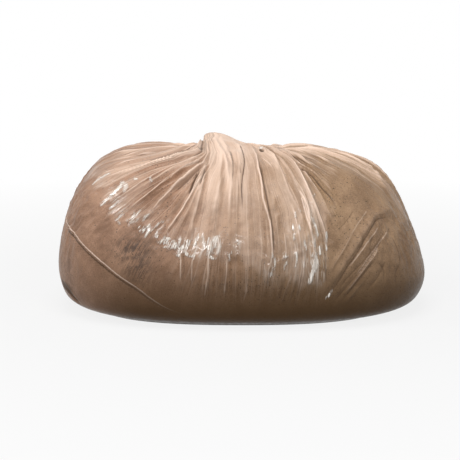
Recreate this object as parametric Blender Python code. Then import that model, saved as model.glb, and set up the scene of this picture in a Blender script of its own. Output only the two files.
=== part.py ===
"""A thin plastic liner filled with sieved wood ash, gathered and tucked shut at the top.

Two solids make it: the liner, which is one folded piece of film from its flat base to its open
mouth, and the heap of ash that it holds. Units are metres, +Z is up, -Y is the front, and the
origin lies on the floor under the middle of the bag.
"""

import math

import bpy
import numpy as np
from mathutils import Vector

# Overall size of the filled bag
BAG_LENGTH = 0.400
BAG_DEPTH = 0.270
BODY_HEIGHT = 0.174
CORNER_POWER = 2.5

# Film and filling: real film is far thinner, and a solid needs a wall
FILM_WALL = 0.0008
ASH_GAP = 0.0005

# Pleats, which run down from the gathered neck. They rise from the flat film over PLEAT_RUN of t,
# sway a little across their guide lines, and are lower where the neck holds them together.
PLEAT_COUNT = 32
PLEAT_HEIGHT = 0.0068
PLEAT_SEED = 3
PLEAT_RUN = 0.28
PLEAT_SHARPNESS = 1.3
PLEAT_SWAYS = ((0.11, 9, 1.3, 1), (0.06, 23, 2.1, 2))
HELD_AT_NECK = 0.45
COLUMNS_PER_PLEAT = 4
STEEPEST_PLEAT = 0.42

# Settled lumps of the ash under the film
LUMP_HEIGHT = 0.0022
LUMP_SPACING = 0.1

# The neck is gathered, bent back over the top and left open at its mouth
NECK_WIDTH = 0.068
NECK_THICKNESS = 0.030
NECK_BACK_REACH = 0.027
NECK_RISE = 0.018
NECK_SHIFT = -0.007
VENT_RADIUS = 0.0018
MOUTH_WALL = 0.0016
SIDE_FOLD_HEIGHT = 0.006
SIDE_FOLD_PLACE = 0.2
SIDE_FOLD_REACH = 0.28

# Rows of faces along the film
BODY_ROWS = 16
NECK_ROWS = 7

# Meridians from the floor to the neck, as (share of the way out to the widest line, share of the
# body height). Each side of the bag has its own, with the same number of stations.
SIDES = {
    "right": (
        (0.77, 0.0), (0.92, 0.05), (0.98, 0.12), (1.0, 0.23), (0.968, 0.38), (0.90, 0.57),
        (0.812, 0.765), (0.70, 0.87), (0.55, 0.935), (0.38, 0.975), (0.22, 0.985), (0.09, 0.97),
    ),
    "left": (
        (0.78, 0.0), (0.925, 0.06), (0.98, 0.14), (1.0, 0.28), (0.975, 0.49), (0.92, 0.68),
        (0.845, 0.825), (0.755, 0.915), (0.61, 0.965), (0.38, 0.99), (0.20, 0.985), (0.08, 0.97),
    ),
    "front": (
        (0.76, 0.0), (0.90, 0.045), (0.97, 0.13), (1.0, 0.29), (0.975, 0.46), (0.90, 0.64),
        (0.79, 0.79), (0.65, 0.895), (0.48, 0.955), (0.32, 0.985), (0.19, 0.99), (0.08, 0.98),
    ),
    "back": (
        (0.76, 0.0), (0.90, 0.045), (0.97, 0.13), (1.0, 0.29), (0.975, 0.46), (0.90, 0.63),
        (0.79, 0.77), (0.66, 0.865), (0.50, 0.92), (0.34, 0.935), (0.20, 0.92), (0.09, 0.895),
    ),
}

# Rings of the neck from its foot to its mouth: (sideways shift, share of the back reach, share of
# the rise, share of the width, share of the thickness, lean to the back, tilt to the left)
NECK_RINGS = (
    (0.000, 0.00, 0.00, 1.00, 1.00, 28, 0),
    (-0.003, -0.08, 0.50, 0.90, 0.86, 38, 6),
    (-0.009, 0.00, 0.86, 0.76, 0.74, 58, 12),
    (-0.014, 0.30, 1.00, 0.60, 0.64, 82, 15),
    (-0.014, 0.64, 0.92, 0.52, 0.52, 99, 12),
    (-0.012, 1.00, 0.68, 0.58, 0.40, 114, 9),
)
NECK_FOOT_HEIGHT = 0.92
NECK_SHARE = 0.2

# The pleats don't run straight out from the neck: in front they leave its two ends in a fan and
# drop straight down the middle. Each line is a guide for them, by its angle around the bag at
# these heights, with t past 1 on the neck.
GUIDE_HEIGHTS = (0.20, 0.35, 0.45, 0.55, 0.65, 0.75, 0.85, 1.0)
GUIDES = (
    (182, 182, 182, 182, 183, 186, 190, 190),
    (188, 190, 193, 198, 206, 219, 222, 205),
    (195, 198, 203, 217, 237, 245, 236, 212),
    (208, 210, 223, 236, 245, 249, 240, 218),
    (222, 226, 238, 249, 253, 252, 244, 224),
    (238, 247, 254, 257, 258, 256, 248, 232),
    (252, 258, 259, 259, 260, 259, 253, 240),
    (262, 264, 264.5, 265.5, 266, 264, 260, 250),
    (268, 268, 268, 268, 268.5, 268, 268, 263),
    (270.5, 270.5, 270.5, 270.5, 271.5, 273, 277, 279),
    (274, 275.5, 275.5, 275, 276, 279, 286, 294),
    (282, 284, 285, 284, 286, 290, 300, 308),
    (291, 291, 290.5, 290.5, 293, 297, 308, 318),
    (302, 301, 299, 297, 295, 300, 316, 328),
    (318, 316, 313, 309, 305, 310, 325, 337),
    (340, 337, 334, 330, 328, 332, 342, 350),
)
BACK_GUIDES = 10
BACK_GUIDE_STEP = 18.2
# How much film is gathered from each guide line to the next one
GUIDE_GAPS = (
    0.8, 0.8, 1.0, 1.2, 1.4, 1.0, 0.8, 0.7, 0.6, 0.8, 1.0, 0.9, 1.0, 1.3, 1.9, 2.1,
    1.2, 1.2, 1.0, 1.0, 1.0, 1.0, 1.0, 1.0, 1.0, 1.0,
)
GUIDE_PLACES = tuple(sum(GUIDE_GAPS[:k]) for k in range(len(GUIDE_GAPS) + 1))

# In front the film climbs in one sweep from the top of the bag to the bend of the neck
SWEEP_START = 0.60
SWEEP_END = 1.10
SWEEP_LEAVE = 0.8
SWEEP_ARRIVE = 0.35


def spline(values, t):
    """A smooth curve through evenly spaced values, read at t from 0 to 1."""
    last = len(values) - 1
    place = min(max(t, 0.0), 1.0) * last
    i = min(int(place), last - 1)
    f = place - i
    before = values[max(i - 1, 0)]
    start = values[i]
    end = values[i + 1]
    after = values[min(i + 2, last)]
    slope_in = (end - before) / 2 if i > 0 else end - start
    slope_out = (after - start) / 2 if i < last - 1 else end - start
    return (
        start * (2 * f**3 - 3 * f**2 + 1)
        + slope_in * (f**3 - 2 * f**2 + f)
        + end * (3 * f**2 - 2 * f**3)
        + slope_out * (f**3 - f**2)
    )


def smooth_step(low, high, x):
    t = min(max((x - low) / (high - low), 0.0), 1.0)
    return t * t * (3 - 2 * t)


def outline(angle):
    """The widest line of the bag seen from above, a rounded rectangle."""
    c, s = math.cos(angle), math.sin(angle)
    power = 2 / CORNER_POWER
    x = BAG_LENGTH / 2 * math.copysign(abs(c) ** power, c)
    y = BAG_DEPTH / 2 * math.copysign(abs(s) ** power, s)
    return Vector((x, y))


def neck_ring(angle, t, inset=0.0, scale=1.0):
    """A point on the neck's ring t, from 0 at its foot to 1 at its mouth."""
    shift, back, rise, width, thick, lean, tilt = (
        spline([ring[i] for ring in NECK_RINGS], t) for i in range(7)
    )
    half_width = (NECK_WIDTH / 2 * width - inset) * scale
    half_thick = (NECK_THICKNESS / 2 * thick - inset) * scale
    lean = math.radians(lean)
    across = half_width * math.cos(angle)
    upward = -half_thick * math.sin(angle)
    foot = NECK_FOOT_HEIGHT * BODY_HEIGHT
    return Vector((
        NECK_SHIFT + shift + across,
        NECK_BACK_REACH * back - upward * math.cos(lean),
        foot + NECK_RISE * rise + upward * math.sin(lean) - across * math.sin(math.radians(tilt)),
    ))


def meridian(angle, t):
    """The height and outward share of the film at t, from 0 at the floor to 1 at the neck."""
    c, s = math.cos(angle), math.sin(angle)
    ends = SIDES["right"] if c > 0 else SIDES["left"]
    faces = SIDES["back"] if s > 0 else SIDES["front"]
    foot = neck_ring(angle, 0.0)
    outward = [a[0] * c * c + b[0] * s * s for a, b in zip(ends, faces)] + [0.0]
    height = [BODY_HEIGHT * (a[1] * c * c + b[1] * s * s) for a, b in zip(ends, faces)] + [foot.z]
    return spline(outward, t), max(spline(height, t), 0.0)


def lumps(x, y):
    """Low rises and hollows where the ash has settled."""
    u, v = x / LUMP_SPACING, y / LUMP_SPACING
    a = math.sin(2.3 * u + 1.3) * math.cos(3.1 * v + 0.4)
    b = math.sin(4.7 * u - 2.9 * v + 2.1)
    return LUMP_HEIGHT * (0.65 * a + 0.35 * b)


def smooth_film(angle, t):
    """A point on the film with its pleats pulled flat."""
    w, z = meridian(angle, t)
    rim = outline(angle)
    foot = neck_ring(angle, 0.0)
    centre = foot.xy * smooth_step(0.35, 1.0, t)
    flat = centre * (1 - w) + rim * w
    settled = smooth_step(0.25, 0.6, t) * (1 - smooth_step(0.85, 1.0, t))
    return Vector((flat.x, flat.y, z + lumps(flat.x, flat.y) * settled))


def inset_film(angle, t, inset):
    """A point the given distance inside the smooth film, measured square to it."""
    step = 0.004
    low, high = max(t - step, 0.0), min(t + step, 1.0)
    along = smooth_film(angle, high) - smooth_film(angle, low)
    around = smooth_film(angle + step, t) - smooth_film(angle - step, t)
    normal = around.cross(along).normalized()
    point = smooth_film(angle, t) - normal * inset
    floor = -inset if inset < 0 else inset
    return Vector((point.x, point.y, floor if t == 0.0 else max(point.z, floor)))


def guide_angle(number, t):
    """The angle in degrees of guide line number, counted around the bag, at t."""
    if number < len(GUIDES):
        return np.interp(t, GUIDE_HEIGHTS, GUIDES[number])
    if number < len(GUIDE_GAPS):
        return 360 + BACK_GUIDE_STEP * (number - len(GUIDES))
    return guide_angle(0, t) + 360


def flow_angle(flow, t):
    """The angle of the film at t that lies at this place across the guide lines."""
    for size, along, across, start in PLEAT_SWAYS:
        flow -= size * math.sin(along * t + across * flow + start * PLEAT_SEED)
    turns, flow = divmod(flow, GUIDE_PLACES[-1])
    lines = [guide_angle(number, t) for number in range(len(GUIDE_PLACES))]
    return math.radians(np.interp(flow, GUIDE_PLACES, lines) + 360 * turns)


def pleat_columns():
    """Columns of faces as (place across the pleats, share of the pleat's height, pleat number), and
    the pleats as (start, end, size, reach)."""
    chance = np.random.default_rng(PLEAT_SEED)
    widths = chance.uniform(0.5, 1.6, PLEAT_COUNT)
    crests = chance.uniform(0.3, 0.7, PLEAT_COUNT)
    sizes = chance.uniform(0.35, 1.0, PLEAT_COUNT)
    reaches = chance.uniform(0.30, 0.48, PLEAT_COUNT)
    edges = np.concatenate([[0], np.cumsum(widths)]) / widths.sum() * GUIDE_PLACES[-1]
    columns = []
    for k in range(PLEAT_COUNT):
        for i in range(COLUMNS_PER_PLEAT):
            rise = 2 * i / COLUMNS_PER_PLEAT
            near = rise if rise <= 1 else 2 - rise
            share = crests[k] * near if rise <= 1 else 1 - (1 - crests[k]) * near
            columns.append((edges[k] + share * (edges[k + 1] - edges[k]), near ** PLEAT_SHARPNESS, k))
    return columns, list(zip(edges[:-1], edges[1:], sizes, reaches))


def plain_film(angle, t):
    """A point on the unpleated outside: the body for t up to 1, and the neck past it."""
    if t <= 1:
        return smooth_film(angle, t)
    rise = (t - 1) / NECK_SHARE
    return neck_ring(angle, rise) + Vector((0, 0, side_fold(angle, rise)))


def swept_film(angle, t):
    """A point on the unpleated outside, with the sweep up to the neck in front."""
    point = plain_film(angle, t)
    front = smooth_step(0.25, 0.8, -math.sin(angle))
    if front == 0 or not SWEEP_START < t < SWEEP_END:
        return point
    start, end = plain_film(angle, SWEEP_START), plain_film(angle, SWEEP_END)
    chord = (end - start).length
    step = 0.02
    leave = (plain_film(angle, SWEEP_START + step) - plain_film(angle, SWEEP_START - step)).normalized()
    arrive = (plain_film(angle, SWEEP_END + step) - plain_film(angle, SWEEP_END - step)).normalized()
    f = (t - SWEEP_START) / (SWEEP_END - SWEEP_START)
    sweep = (
        start * (2 * f**3 - 3 * f**2 + 1)
        + leave * (chord * SWEEP_LEAVE * (f**3 - 2 * f**2 + f))
        + end * (3 * f**2 - 2 * f**3)
        + arrive * (chord * SWEEP_ARRIVE * (f**3 - f**2))
    )
    return point.lerp(sweep, front)


def outward(angle, t):
    """The direction square to the unpleated outside."""
    step = 0.012
    high = min(t + step, 1 + NECK_SHARE)
    along = swept_film(angle, high) - swept_film(angle, max(t - step, 0.0))
    around = swept_film(angle + step, t) - swept_film(angle - step, t)
    return around.cross(along).normalized()


def side_fold(angle, t):
    """The small loop of film that stands up at the right end of the neck."""
    near = max(math.cos(angle), 0.0) ** 4
    return SIDE_FOLD_HEIGHT * near * math.exp(-((t - SIDE_FOLD_PLACE) / SIDE_FOLD_REACH) ** 2)


def outer_rings(columns, pleats):
    """Rings of points over the outside, from the floor to the mouth."""
    rings = []
    heights = [row / BODY_ROWS for row in range(BODY_ROWS)]
    heights += [1 + NECK_SHARE * row / NECK_ROWS for row in range(NECK_ROWS + 1)]
    for t in heights:
        tall = []
        for start, end, size, reach in pleats:
            gap = swept_film(flow_angle(end, t), t) - swept_film(flow_angle(start, t), t)
            most = min(PLEAT_HEIGHT * size, STEEPEST_PLEAT * gap.length)
            held = 1 - HELD_AT_NECK * smooth_step(0.88, 1.02, t)
            tall.append(most * smooth_step(reach, reach + PLEAT_RUN, t) * held)
        ring = []
        for place, share, k in columns:
            angle = flow_angle(place, t)
            point = swept_film(angle, t) + outward(angle, t) * (share * tall[k])
            ring.append(Vector((point.x, point.y, max(point.z, 0.0) if t else 0.0)))
        rings.append(ring)
    return rings


def vent_ring(angle, t):
    """A point on the narrow way that is left through the middle of the gathered neck."""
    middle = (neck_ring(0.0, t) + neck_ring(math.pi, t)) / 2
    near = neck_ring(angle, t) - middle
    return middle + near.normalized() * VENT_RADIUS


def inner_rings(places):
    """Rings of points over the inside, from the mouth back to the floor."""
    funnel = (NECK_ROWS - 1) / NECK_ROWS
    mouth = [flow_angle(place, 1 + NECK_SHARE) for place in places]
    rings = [[neck_ring(a, 1.0, MOUTH_WALL) for a in mouth]]
    rings.append([neck_ring(a, (1 + funnel) / 2, MOUTH_WALL, 0.6) for a in mouth])
    for row in range(NECK_ROWS - 1, 0, -1):
        t = row / NECK_ROWS
        rings.append([vent_ring(flow_angle(place, 1 + NECK_SHARE * t), t) for place in places])
    return rings + film_rings(places, FILM_WALL)[::-1]


def film_rings(places, inset):
    """Rings of points at one depth under the film, from the floor to the foot of the neck."""
    rings = []
    for row in range(BODY_ROWS + 1):
        t = row / BODY_ROWS
        rings.append([inset_film(flow_angle(place, t), t, inset) for place in places])
    return rings


def skin(name, rings, turn):
    """A closed mesh over rings of points, with flat caps. A ring may have half its neighbour's points.

    Each four-sided face is split along the same diagonal of the bag before and after ring number
    turn, where the film turns back inside, so that facing surfaces stay the same distance apart.
    """
    points = [p for ring in rings for p in ring]
    starts = []
    count = 0
    for ring in rings:
        starts.append(count)
        count += len(ring)
    faces = [list(range(len(rings[0])))[::-1]]
    for i in range(len(rings) - 1):
        low, high = starts[i], starts[i + 1]
        here, there = len(rings[i]), len(rings[i + 1])
        ratio = here // there
        for j in range(there):
            a, b = high + j, high + (j + 1) % there
            edge = [low + (j * ratio + k) % here for k in range(ratio + 1)]
            if i < turn:
                faces.extend((edge[k], edge[k + 1], b) for k in range(ratio))
                faces.append((edge[0], b, a))
            else:
                faces.extend((edge[k], edge[k + 1], a) for k in range(ratio))
                faces.append((edge[-1], b, a))
    faces.append([starts[-1] + j for j in range(len(rings[-1]))])
    mesh = bpy.data.meshes.new(name)
    mesh.from_pydata(points, [], faces)
    mesh.update()
    mesh.shade_smooth()
    made = bpy.data.objects.new(name, mesh)
    bpy.context.scene.collection.objects.link(made)
    return made


def finish(name, colour, roughness, alpha=1.0):
    """A plain material with the photographed colour."""
    made = bpy.data.materials.new(name)
    made.use_nodes = True
    shader = made.node_tree.nodes["Principled BSDF"]
    shader.inputs["Base Color"].default_value = (*colour, 1.0)
    shader.inputs["Roughness"].default_value = roughness
    shader.inputs["Metallic"].default_value = 0.0
    shader.inputs["Alpha"].default_value = alpha
    return made


for old in list(bpy.data.objects):
    bpy.data.objects.remove(old)

# The liner, outside and inside in one skin
film_columns, film_pleats = pleat_columns()
inner_places = [place for place, _, _ in film_columns[::2]]
outside = outer_rings(film_columns, film_pleats)
film_bag = skin("film_bag", outside + inner_rings(inner_places), turn=len(outside))
film_bag.data.materials.append(finish("milky_film", (0.62, 0.49, 0.39), 0.25, 0.6))

# The ash that fills it
heap = film_rings(inner_places, FILM_WALL + ASH_GAP)
wood_ash = skin("wood_ash", heap, turn=len(heap))
wood_ash.data.materials.append(finish("sieved_ash", (0.33, 0.22, 0.15), 0.95))
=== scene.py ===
# %% [markdown]
# # A bag of wood ash
#
# The real object is a thin, milky plastic liner with about twelve litres of sieved wood ash in it.
# It has slumped into a long loaf. Its top is gathered, bent back and tucked under itself, so that
# pleats fan out from the neck over both shoulders and down the front.
#
# This notebook dresses a plain solid model of that bag. Two pieces do the work: the film, which is
# one folded sheet from the floor to the open mouth, and the heap of ash under it.

# %% Start from the solid model
import math

import bpy
import numpy as np
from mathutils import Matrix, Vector, noise


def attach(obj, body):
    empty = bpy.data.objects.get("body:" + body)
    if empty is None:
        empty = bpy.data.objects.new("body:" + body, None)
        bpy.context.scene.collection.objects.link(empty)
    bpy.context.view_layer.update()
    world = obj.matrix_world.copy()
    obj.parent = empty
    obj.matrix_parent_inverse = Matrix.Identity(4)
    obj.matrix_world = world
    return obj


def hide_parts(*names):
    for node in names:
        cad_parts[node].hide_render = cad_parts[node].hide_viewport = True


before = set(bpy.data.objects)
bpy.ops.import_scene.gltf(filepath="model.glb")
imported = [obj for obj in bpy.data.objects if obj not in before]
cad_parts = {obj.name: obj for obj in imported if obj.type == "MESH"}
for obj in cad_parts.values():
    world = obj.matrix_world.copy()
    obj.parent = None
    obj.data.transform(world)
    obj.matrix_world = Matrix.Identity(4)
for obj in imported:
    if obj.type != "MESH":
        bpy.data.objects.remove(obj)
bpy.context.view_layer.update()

# %% [markdown]
# ## Camera
#
# The photograph was taken from a little above the table, straight at the long side. A long lens
# from a metre and a half away keeps the ends of the bag from spreading.

# %% Camera
CAMERA_DISTANCE = 1.5
CAMERA_HEIGHT_ANGLE = math.radians(10.35)
LENS_MM = 106.9
AIM = Vector((-0.0125, 0.0, 0.0815))

camera_data = bpy.data.cameras.new("camera")
camera_data.lens = LENS_MM
camera_data.sensor_width = 36.0
camera_data.clip_end = 20.0
camera = bpy.data.objects.new("camera", camera_data)
bpy.context.scene.collection.objects.link(camera)
away = Vector((0, -math.cos(CAMERA_HEIGHT_ANGLE), math.sin(CAMERA_HEIGHT_ANGLE)))
camera.location = AIM + away * CAMERA_DISTANCE
camera.rotation_euler = away.to_track_quat("Z", "Y").to_euler()
bpy.context.scene.camera = camera
print("camera at", [round(v, 3) for v in camera.location])

# %% [markdown]
# ## Light and floor
#
# A large soft lamp high in front lights the top and lets the lower half fall into shade, as in the
# photograph. Three narrow lamps, in front, right and left, add the hard glints that creased film
# shows. They are small, so they add little to the plain colours.

# %% Lamps
LAMP_TARGET = Vector((0, 0, 0.09))


def lamp(name, azimuth, elevation, distance, size, radiance):
    """A rectangular lamp that looks at the middle of the bag; its power follows from its brightness."""
    data = bpy.data.lights.new(name, "AREA")
    data.shape = "RECTANGLE"
    data.size, data.size_y = size
    data.energy = radiance * math.pi * size[0] * size[1]
    made = bpy.data.objects.new(name, data)
    bpy.context.scene.collection.objects.link(made)
    a, e = math.radians(azimuth), math.radians(elevation)
    way = Vector((math.sin(a) * math.cos(e), -math.cos(a) * math.cos(e), math.sin(e)))
    made.location = LAMP_TARGET + way * distance
    made.rotation_euler = way.to_track_quat("Z", "Y").to_euler()
    return made


lamp("soft_top", -8, 70, 1.6, (1.0, 1.0), 6.4)
lamp("strip_front", -17, 23, 1.7, (0.75, 0.20), 15.0)
lamp("strip_right", 25, 30, 1.7, (0.10, 0.50), 15.0)
lamp("strip_left", -75, 38, 1.7, (0.50, 0.24), 14.0)

# %% [markdown]
# A plain white room stands behind the bag. The camera, mirrors and clear film see it as white,
# while it lights the bag only a little, so that the lamps decide how bright the bag is. The floor
# does the same, and keeps the bag's soft shadow.

# %% White for what is seen directly
def seen_directly(tree):
    """1 where the camera looks, also in a mirror or through something clear, and 0 elsewhere."""
    rays = tree.nodes.new("ShaderNodeLightPath")
    seen = tree.nodes.new("ShaderNodeMath")
    seen.operation = "MAXIMUM"
    seen_more = tree.nodes.new("ShaderNodeMath")
    seen_more.operation = "MAXIMUM"
    tree.links.new(rays.outputs["Is Camera Ray"], seen.inputs[0])
    tree.links.new(rays.outputs["Is Glossy Ray"], seen.inputs[1])
    tree.links.new(seen.outputs[0], seen_more.inputs[0])
    tree.links.new(rays.outputs["Is Transmission Ray"], seen_more.inputs[1])
    return seen_more.outputs[0]


# %% World
AMBIENT = 0.22

world = bpy.data.worlds.new("plain_room")
bpy.context.scene.world = world
world.use_nodes = True
tree = world.node_tree
tree.nodes.clear()
seen = seen_directly(tree)
strength = tree.nodes.new("ShaderNodeMapRange")
strength.inputs["To Min"].default_value = AMBIENT
strength.inputs["To Max"].default_value = 1.0
background = tree.nodes.new("ShaderNodeBackground")
background.inputs["Color"].default_value = (1, 1, 1, 1)
world_out = tree.nodes.new("ShaderNodeOutputWorld")
tree.links.new(seen, strength.inputs["Value"])
tree.links.new(strength.outputs["Result"], background.inputs["Strength"])
tree.links.new(background.outputs["Background"], world_out.inputs["Surface"])
print("the room lights the bag with a strength of", AMBIENT)

# %% Floor
FLOOR_REACH = 6.0

floor_mesh = bpy.data.meshes.new("floor")
floor_corners = [(FLOOR_REACH * x, FLOOR_REACH * y, 0) for x, y in ((-1, -1), (1, -1), (1, 1), (-1, 1))]
floor_mesh.from_pydata(floor_corners, [], [(0, 1, 2, 3)])
floor = bpy.data.objects.new("floor", floor_mesh)
bpy.context.scene.collection.objects.link(floor)
print("floor", FLOOR_REACH * 2, "m square")

# %% Floor finish
# The floor shows a soft shade near the bag and is plain white from a metre away
SHADE_FROM, SHADE_TO = 0.25, 1.0
NEAR_GLOW = 0.84

floor_finish = bpy.data.materials.new("pale_floor")
floor_finish.use_nodes = True
tree = floor_finish.node_tree
tree.nodes.clear()
seen = seen_directly(tree)
lit = tree.nodes.new("ShaderNodeBsdfDiffuse")
lit.inputs["Color"].default_value = (0.5, 0.5, 0.5, 1)
glow = tree.nodes.new("ShaderNodeEmission")
glow.inputs["Color"].default_value = (1, 1, 1, 1)
spot = tree.nodes.new("ShaderNodeNewGeometry")
apart = tree.nodes.new("ShaderNodeVectorMath")
apart.operation = "LENGTH"
tree.links.new(spot.outputs["Position"], apart.inputs[0])
plain = tree.nodes.new("ShaderNodeMapRange")
plain.inputs["From Min"].default_value = SHADE_FROM
plain.inputs["From Max"].default_value = SHADE_TO
plain.inputs["To Min"].default_value = NEAR_GLOW
plain.inputs["To Max"].default_value = 1.0
tree.links.new(apart.outputs["Value"], plain.inputs["Value"])
share = tree.nodes.new("ShaderNodeMath")
share.operation = "MULTIPLY"
tree.links.new(plain.outputs["Result"], share.inputs[1])
mix = tree.nodes.new("ShaderNodeMixShader")
floor_out = tree.nodes.new("ShaderNodeOutputMaterial")
tree.links.new(seen, share.inputs[0])
tree.links.new(share.outputs[0], mix.inputs["Fac"])
tree.links.new(lit.outputs["BSDF"], mix.inputs[1])
tree.links.new(glow.outputs["Emission"], mix.inputs[2])
tree.links.new(mix.outputs["Shader"], floor_out.inputs["Surface"])
floor_mesh.materials.append(floor_finish)
bpy.context.scene.view_settings.view_transform = "Standard"
print("floor finish ready")

# %% [markdown]
# ## The smooth bag
#
# The bag without its pleats is a surface with two coordinates: the angle around it, and t, which
# runs from 0 at the floor to 1 at the foot of the neck. Four side profiles are blended around it.
# These are the same sizes and curves as in the solid model, worked out here for whole arrays of
# points at once.

# %% Sizes of the bag
BAG_LENGTH = 0.400
BAG_DEPTH = 0.270
BODY_HEIGHT = 0.174
CORNER_POWER = 2.5
LUMP_HEIGHT = 0.0022
LUMP_SPACING = 0.1
NECK_WIDTH = 0.068
NECK_THICKNESS = 0.030
NECK_BACK_REACH = 0.027
NECK_RISE = 0.018
NECK_SHIFT = -0.007
NECK_FOOT_HEIGHT = 0.92
SIDE_FOLD_HEIGHT = 0.006
SIDES = {
    "right": (
        (0.77, 0.0), (0.92, 0.05), (0.98, 0.12), (1.0, 0.23), (0.968, 0.38), (0.90, 0.57),
        (0.812, 0.765), (0.70, 0.87), (0.55, 0.935), (0.38, 0.975), (0.22, 0.985), (0.09, 0.97),
    ),
    "left": (
        (0.78, 0.0), (0.925, 0.06), (0.98, 0.14), (1.0, 0.28), (0.975, 0.49), (0.92, 0.68),
        (0.845, 0.825), (0.755, 0.915), (0.61, 0.965), (0.38, 0.99), (0.20, 0.985), (0.08, 0.97),
    ),
    "front": (
        (0.76, 0.0), (0.90, 0.045), (0.97, 0.13), (1.0, 0.29), (0.975, 0.46), (0.90, 0.64),
        (0.79, 0.79), (0.65, 0.895), (0.48, 0.955), (0.32, 0.985), (0.19, 0.99), (0.08, 0.98),
    ),
    "back": (
        (0.76, 0.0), (0.90, 0.045), (0.97, 0.13), (1.0, 0.29), (0.975, 0.46), (0.90, 0.63),
        (0.79, 0.77), (0.66, 0.865), (0.50, 0.92), (0.34, 0.935), (0.20, 0.92), (0.09, 0.895),
    ),
}
# Each ring of the neck: shift, back, rise, width, thickness, lean and tilt in degrees
NECK_RINGS = np.array((
    (0.000, 0.00, 0.00, 1.00, 1.00, 28, 0),
    (-0.003, -0.08, 0.50, 0.90, 0.86, 38, 6),
    (-0.009, 0.00, 0.86, 0.76, 0.74, 58, 12),
    (-0.014, 0.30, 1.00, 0.60, 0.64, 82, 15),
    (-0.014, 0.64, 0.92, 0.52, 0.52, 99, 12),
    (-0.012, 1.00, 0.68, 0.58, 0.40, 114, 9),
))
print("bag", BAG_LENGTH, "x", BAG_DEPTH, "x", BODY_HEIGHT, "m without its neck")

# %% Curves
def ease(low, high, x):
    """A smooth step from 0 at low to 1 at high."""
    t = np.clip((x - low) / (high - low), 0, 1)
    return t * t * (3 - 2 * t)


def spline(stations, t):
    """A smooth curve through evenly spaced stations, which lie on the last axis."""
    last = stations.shape[-1] - 1
    place = np.clip(t, 0, 1) * last
    i = np.minimum(place.astype(int), last - 1)
    f = place - i

    def take(k):
        k = np.clip(k, 0, last)
        shape = np.broadcast_shapes(stations.shape[:-1], k.shape)
        wide = np.broadcast_to(stations, shape + stations.shape[-1:])
        return np.take_along_axis(wide, np.broadcast_to(k, shape)[..., None], -1)[..., 0]

    before, start, end, after = take(i - 1), take(i), take(i + 1), take(i + 2)
    slope_in = np.where(i > 0, (end - before) / 2, end - start)
    slope_out = np.where(i < last - 1, (after - start) / 2, end - start)
    return (
        start * (2 * f**3 - 3 * f**2 + 1) + slope_in * (f**3 - 2 * f**2 + f)
        + end * (3 * f**2 - 2 * f**3) + slope_out * (f**3 - f**2)
    )


# %% The smooth surface
def rim(angle):
    """The widest line of the bag seen from above, a rounded rectangle."""
    c, s = np.cos(angle), np.sin(angle)
    p = 2 / CORNER_POWER
    x = BAG_LENGTH / 2 * np.copysign(np.abs(c) ** p, c)
    y = BAG_DEPTH / 2 * np.copysign(np.abs(s) ** p, s)
    return x, y


def neck(angle, t, inset=0.0, scale=1.0):
    """Points on the gathered neck, from its foot at t = 0 to its mouth at t = 1."""
    t = np.asarray(t, float)
    shift, back, rise, width, thick, lean, tilt = (spline(NECK_RINGS[:, i], t) for i in range(7))
    half_width = (NECK_WIDTH / 2 * width - inset) * scale
    half_thick = (NECK_THICKNESS / 2 * thick - inset) * scale
    lean = np.radians(lean)
    across = half_width * np.cos(angle)
    upward = -half_thick * np.sin(angle)
    foot = NECK_FOOT_HEIGHT * BODY_HEIGHT
    loop = SIDE_FOLD_HEIGHT * np.maximum(np.cos(angle), 0) ** 4 * np.exp(-((t - 0.2) / 0.28) ** 2)
    return np.stack([
        NECK_SHIFT + shift + across,
        NECK_BACK_REACH * back - upward * np.cos(lean),
        foot + NECK_RISE * rise + upward * np.sin(lean) - across * np.sin(np.radians(tilt)) + loop,
    ], -1)


def lumps(x, y):
    """Low rises and hollows where the ash has settled."""
    u, v = x / LUMP_SPACING, y / LUMP_SPACING
    a = np.sin(2.3 * u + 1.3) * np.cos(3.1 * v + 0.4)
    b = np.sin(4.7 * u - 2.9 * v + 2.1)
    return LUMP_HEIGHT * (0.65 * a + 0.35 * b)


def smooth_bag(angle, t):
    """Points on the film of the body with its pleats pulled flat."""
    c, s = np.cos(angle), np.sin(angle)
    ends = np.where((c > 0)[..., None, None], np.array(SIDES["right"]), np.array(SIDES["left"]))
    faces = np.where((s > 0)[..., None, None], np.array(SIDES["back"]), np.array(SIDES["front"]))
    blend = ends * (c * c)[..., None, None] + faces * (s * s)[..., None, None]
    foot = neck(angle, np.zeros_like(t))
    outward = np.concatenate([blend[..., 0], np.zeros(angle.shape + (1,))], -1)
    height = np.concatenate([BODY_HEIGHT * blend[..., 1], foot[..., 2:3]], -1)
    w = spline(outward, t)
    z = np.maximum(spline(height, t), 0)
    rim_x, rim_y = rim(angle)
    pull = ease(0.35, 1.0, t)
    x = foot[..., 0] * pull * (1 - w) + rim_x * w
    y = foot[..., 1] * pull * (1 - w) + rim_y * w
    settled = ease(0.25, 0.6, t) * (1 - ease(0.85, 1.0, t))
    return np.stack([x, y, z + lumps(x, y) * settled], -1)


widest = smooth_bag(np.radians(np.array([180.0, 270.0, 0.0])), np.array([0.3, 0.3, 0.3]))
print("three points on the widest line", widest.round(4).tolist())

# %% [markdown]
# ## A grid on the film
#
# The film mesh is a grid: columns run from the floor up over the shoulder and into the neck, rows
# run around. The front carries the fine folds, so most of the columns are there, and the rows are
# closer together on the shoulder than at the flat foot.

# %% Grid
FRONT_COLUMNS = 450
BACK_COLUMNS = 96
ROW_PLACES = ((0.0, 0), (0.10, 10), (0.20, 24), (0.55, 92), (0.85, 134), (1.0, 152))
NECK_ROWS = 26
# How much t grows up the neck, which is about a fifth as long as the way up the body
NECK_SHARE = 0.2

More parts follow.
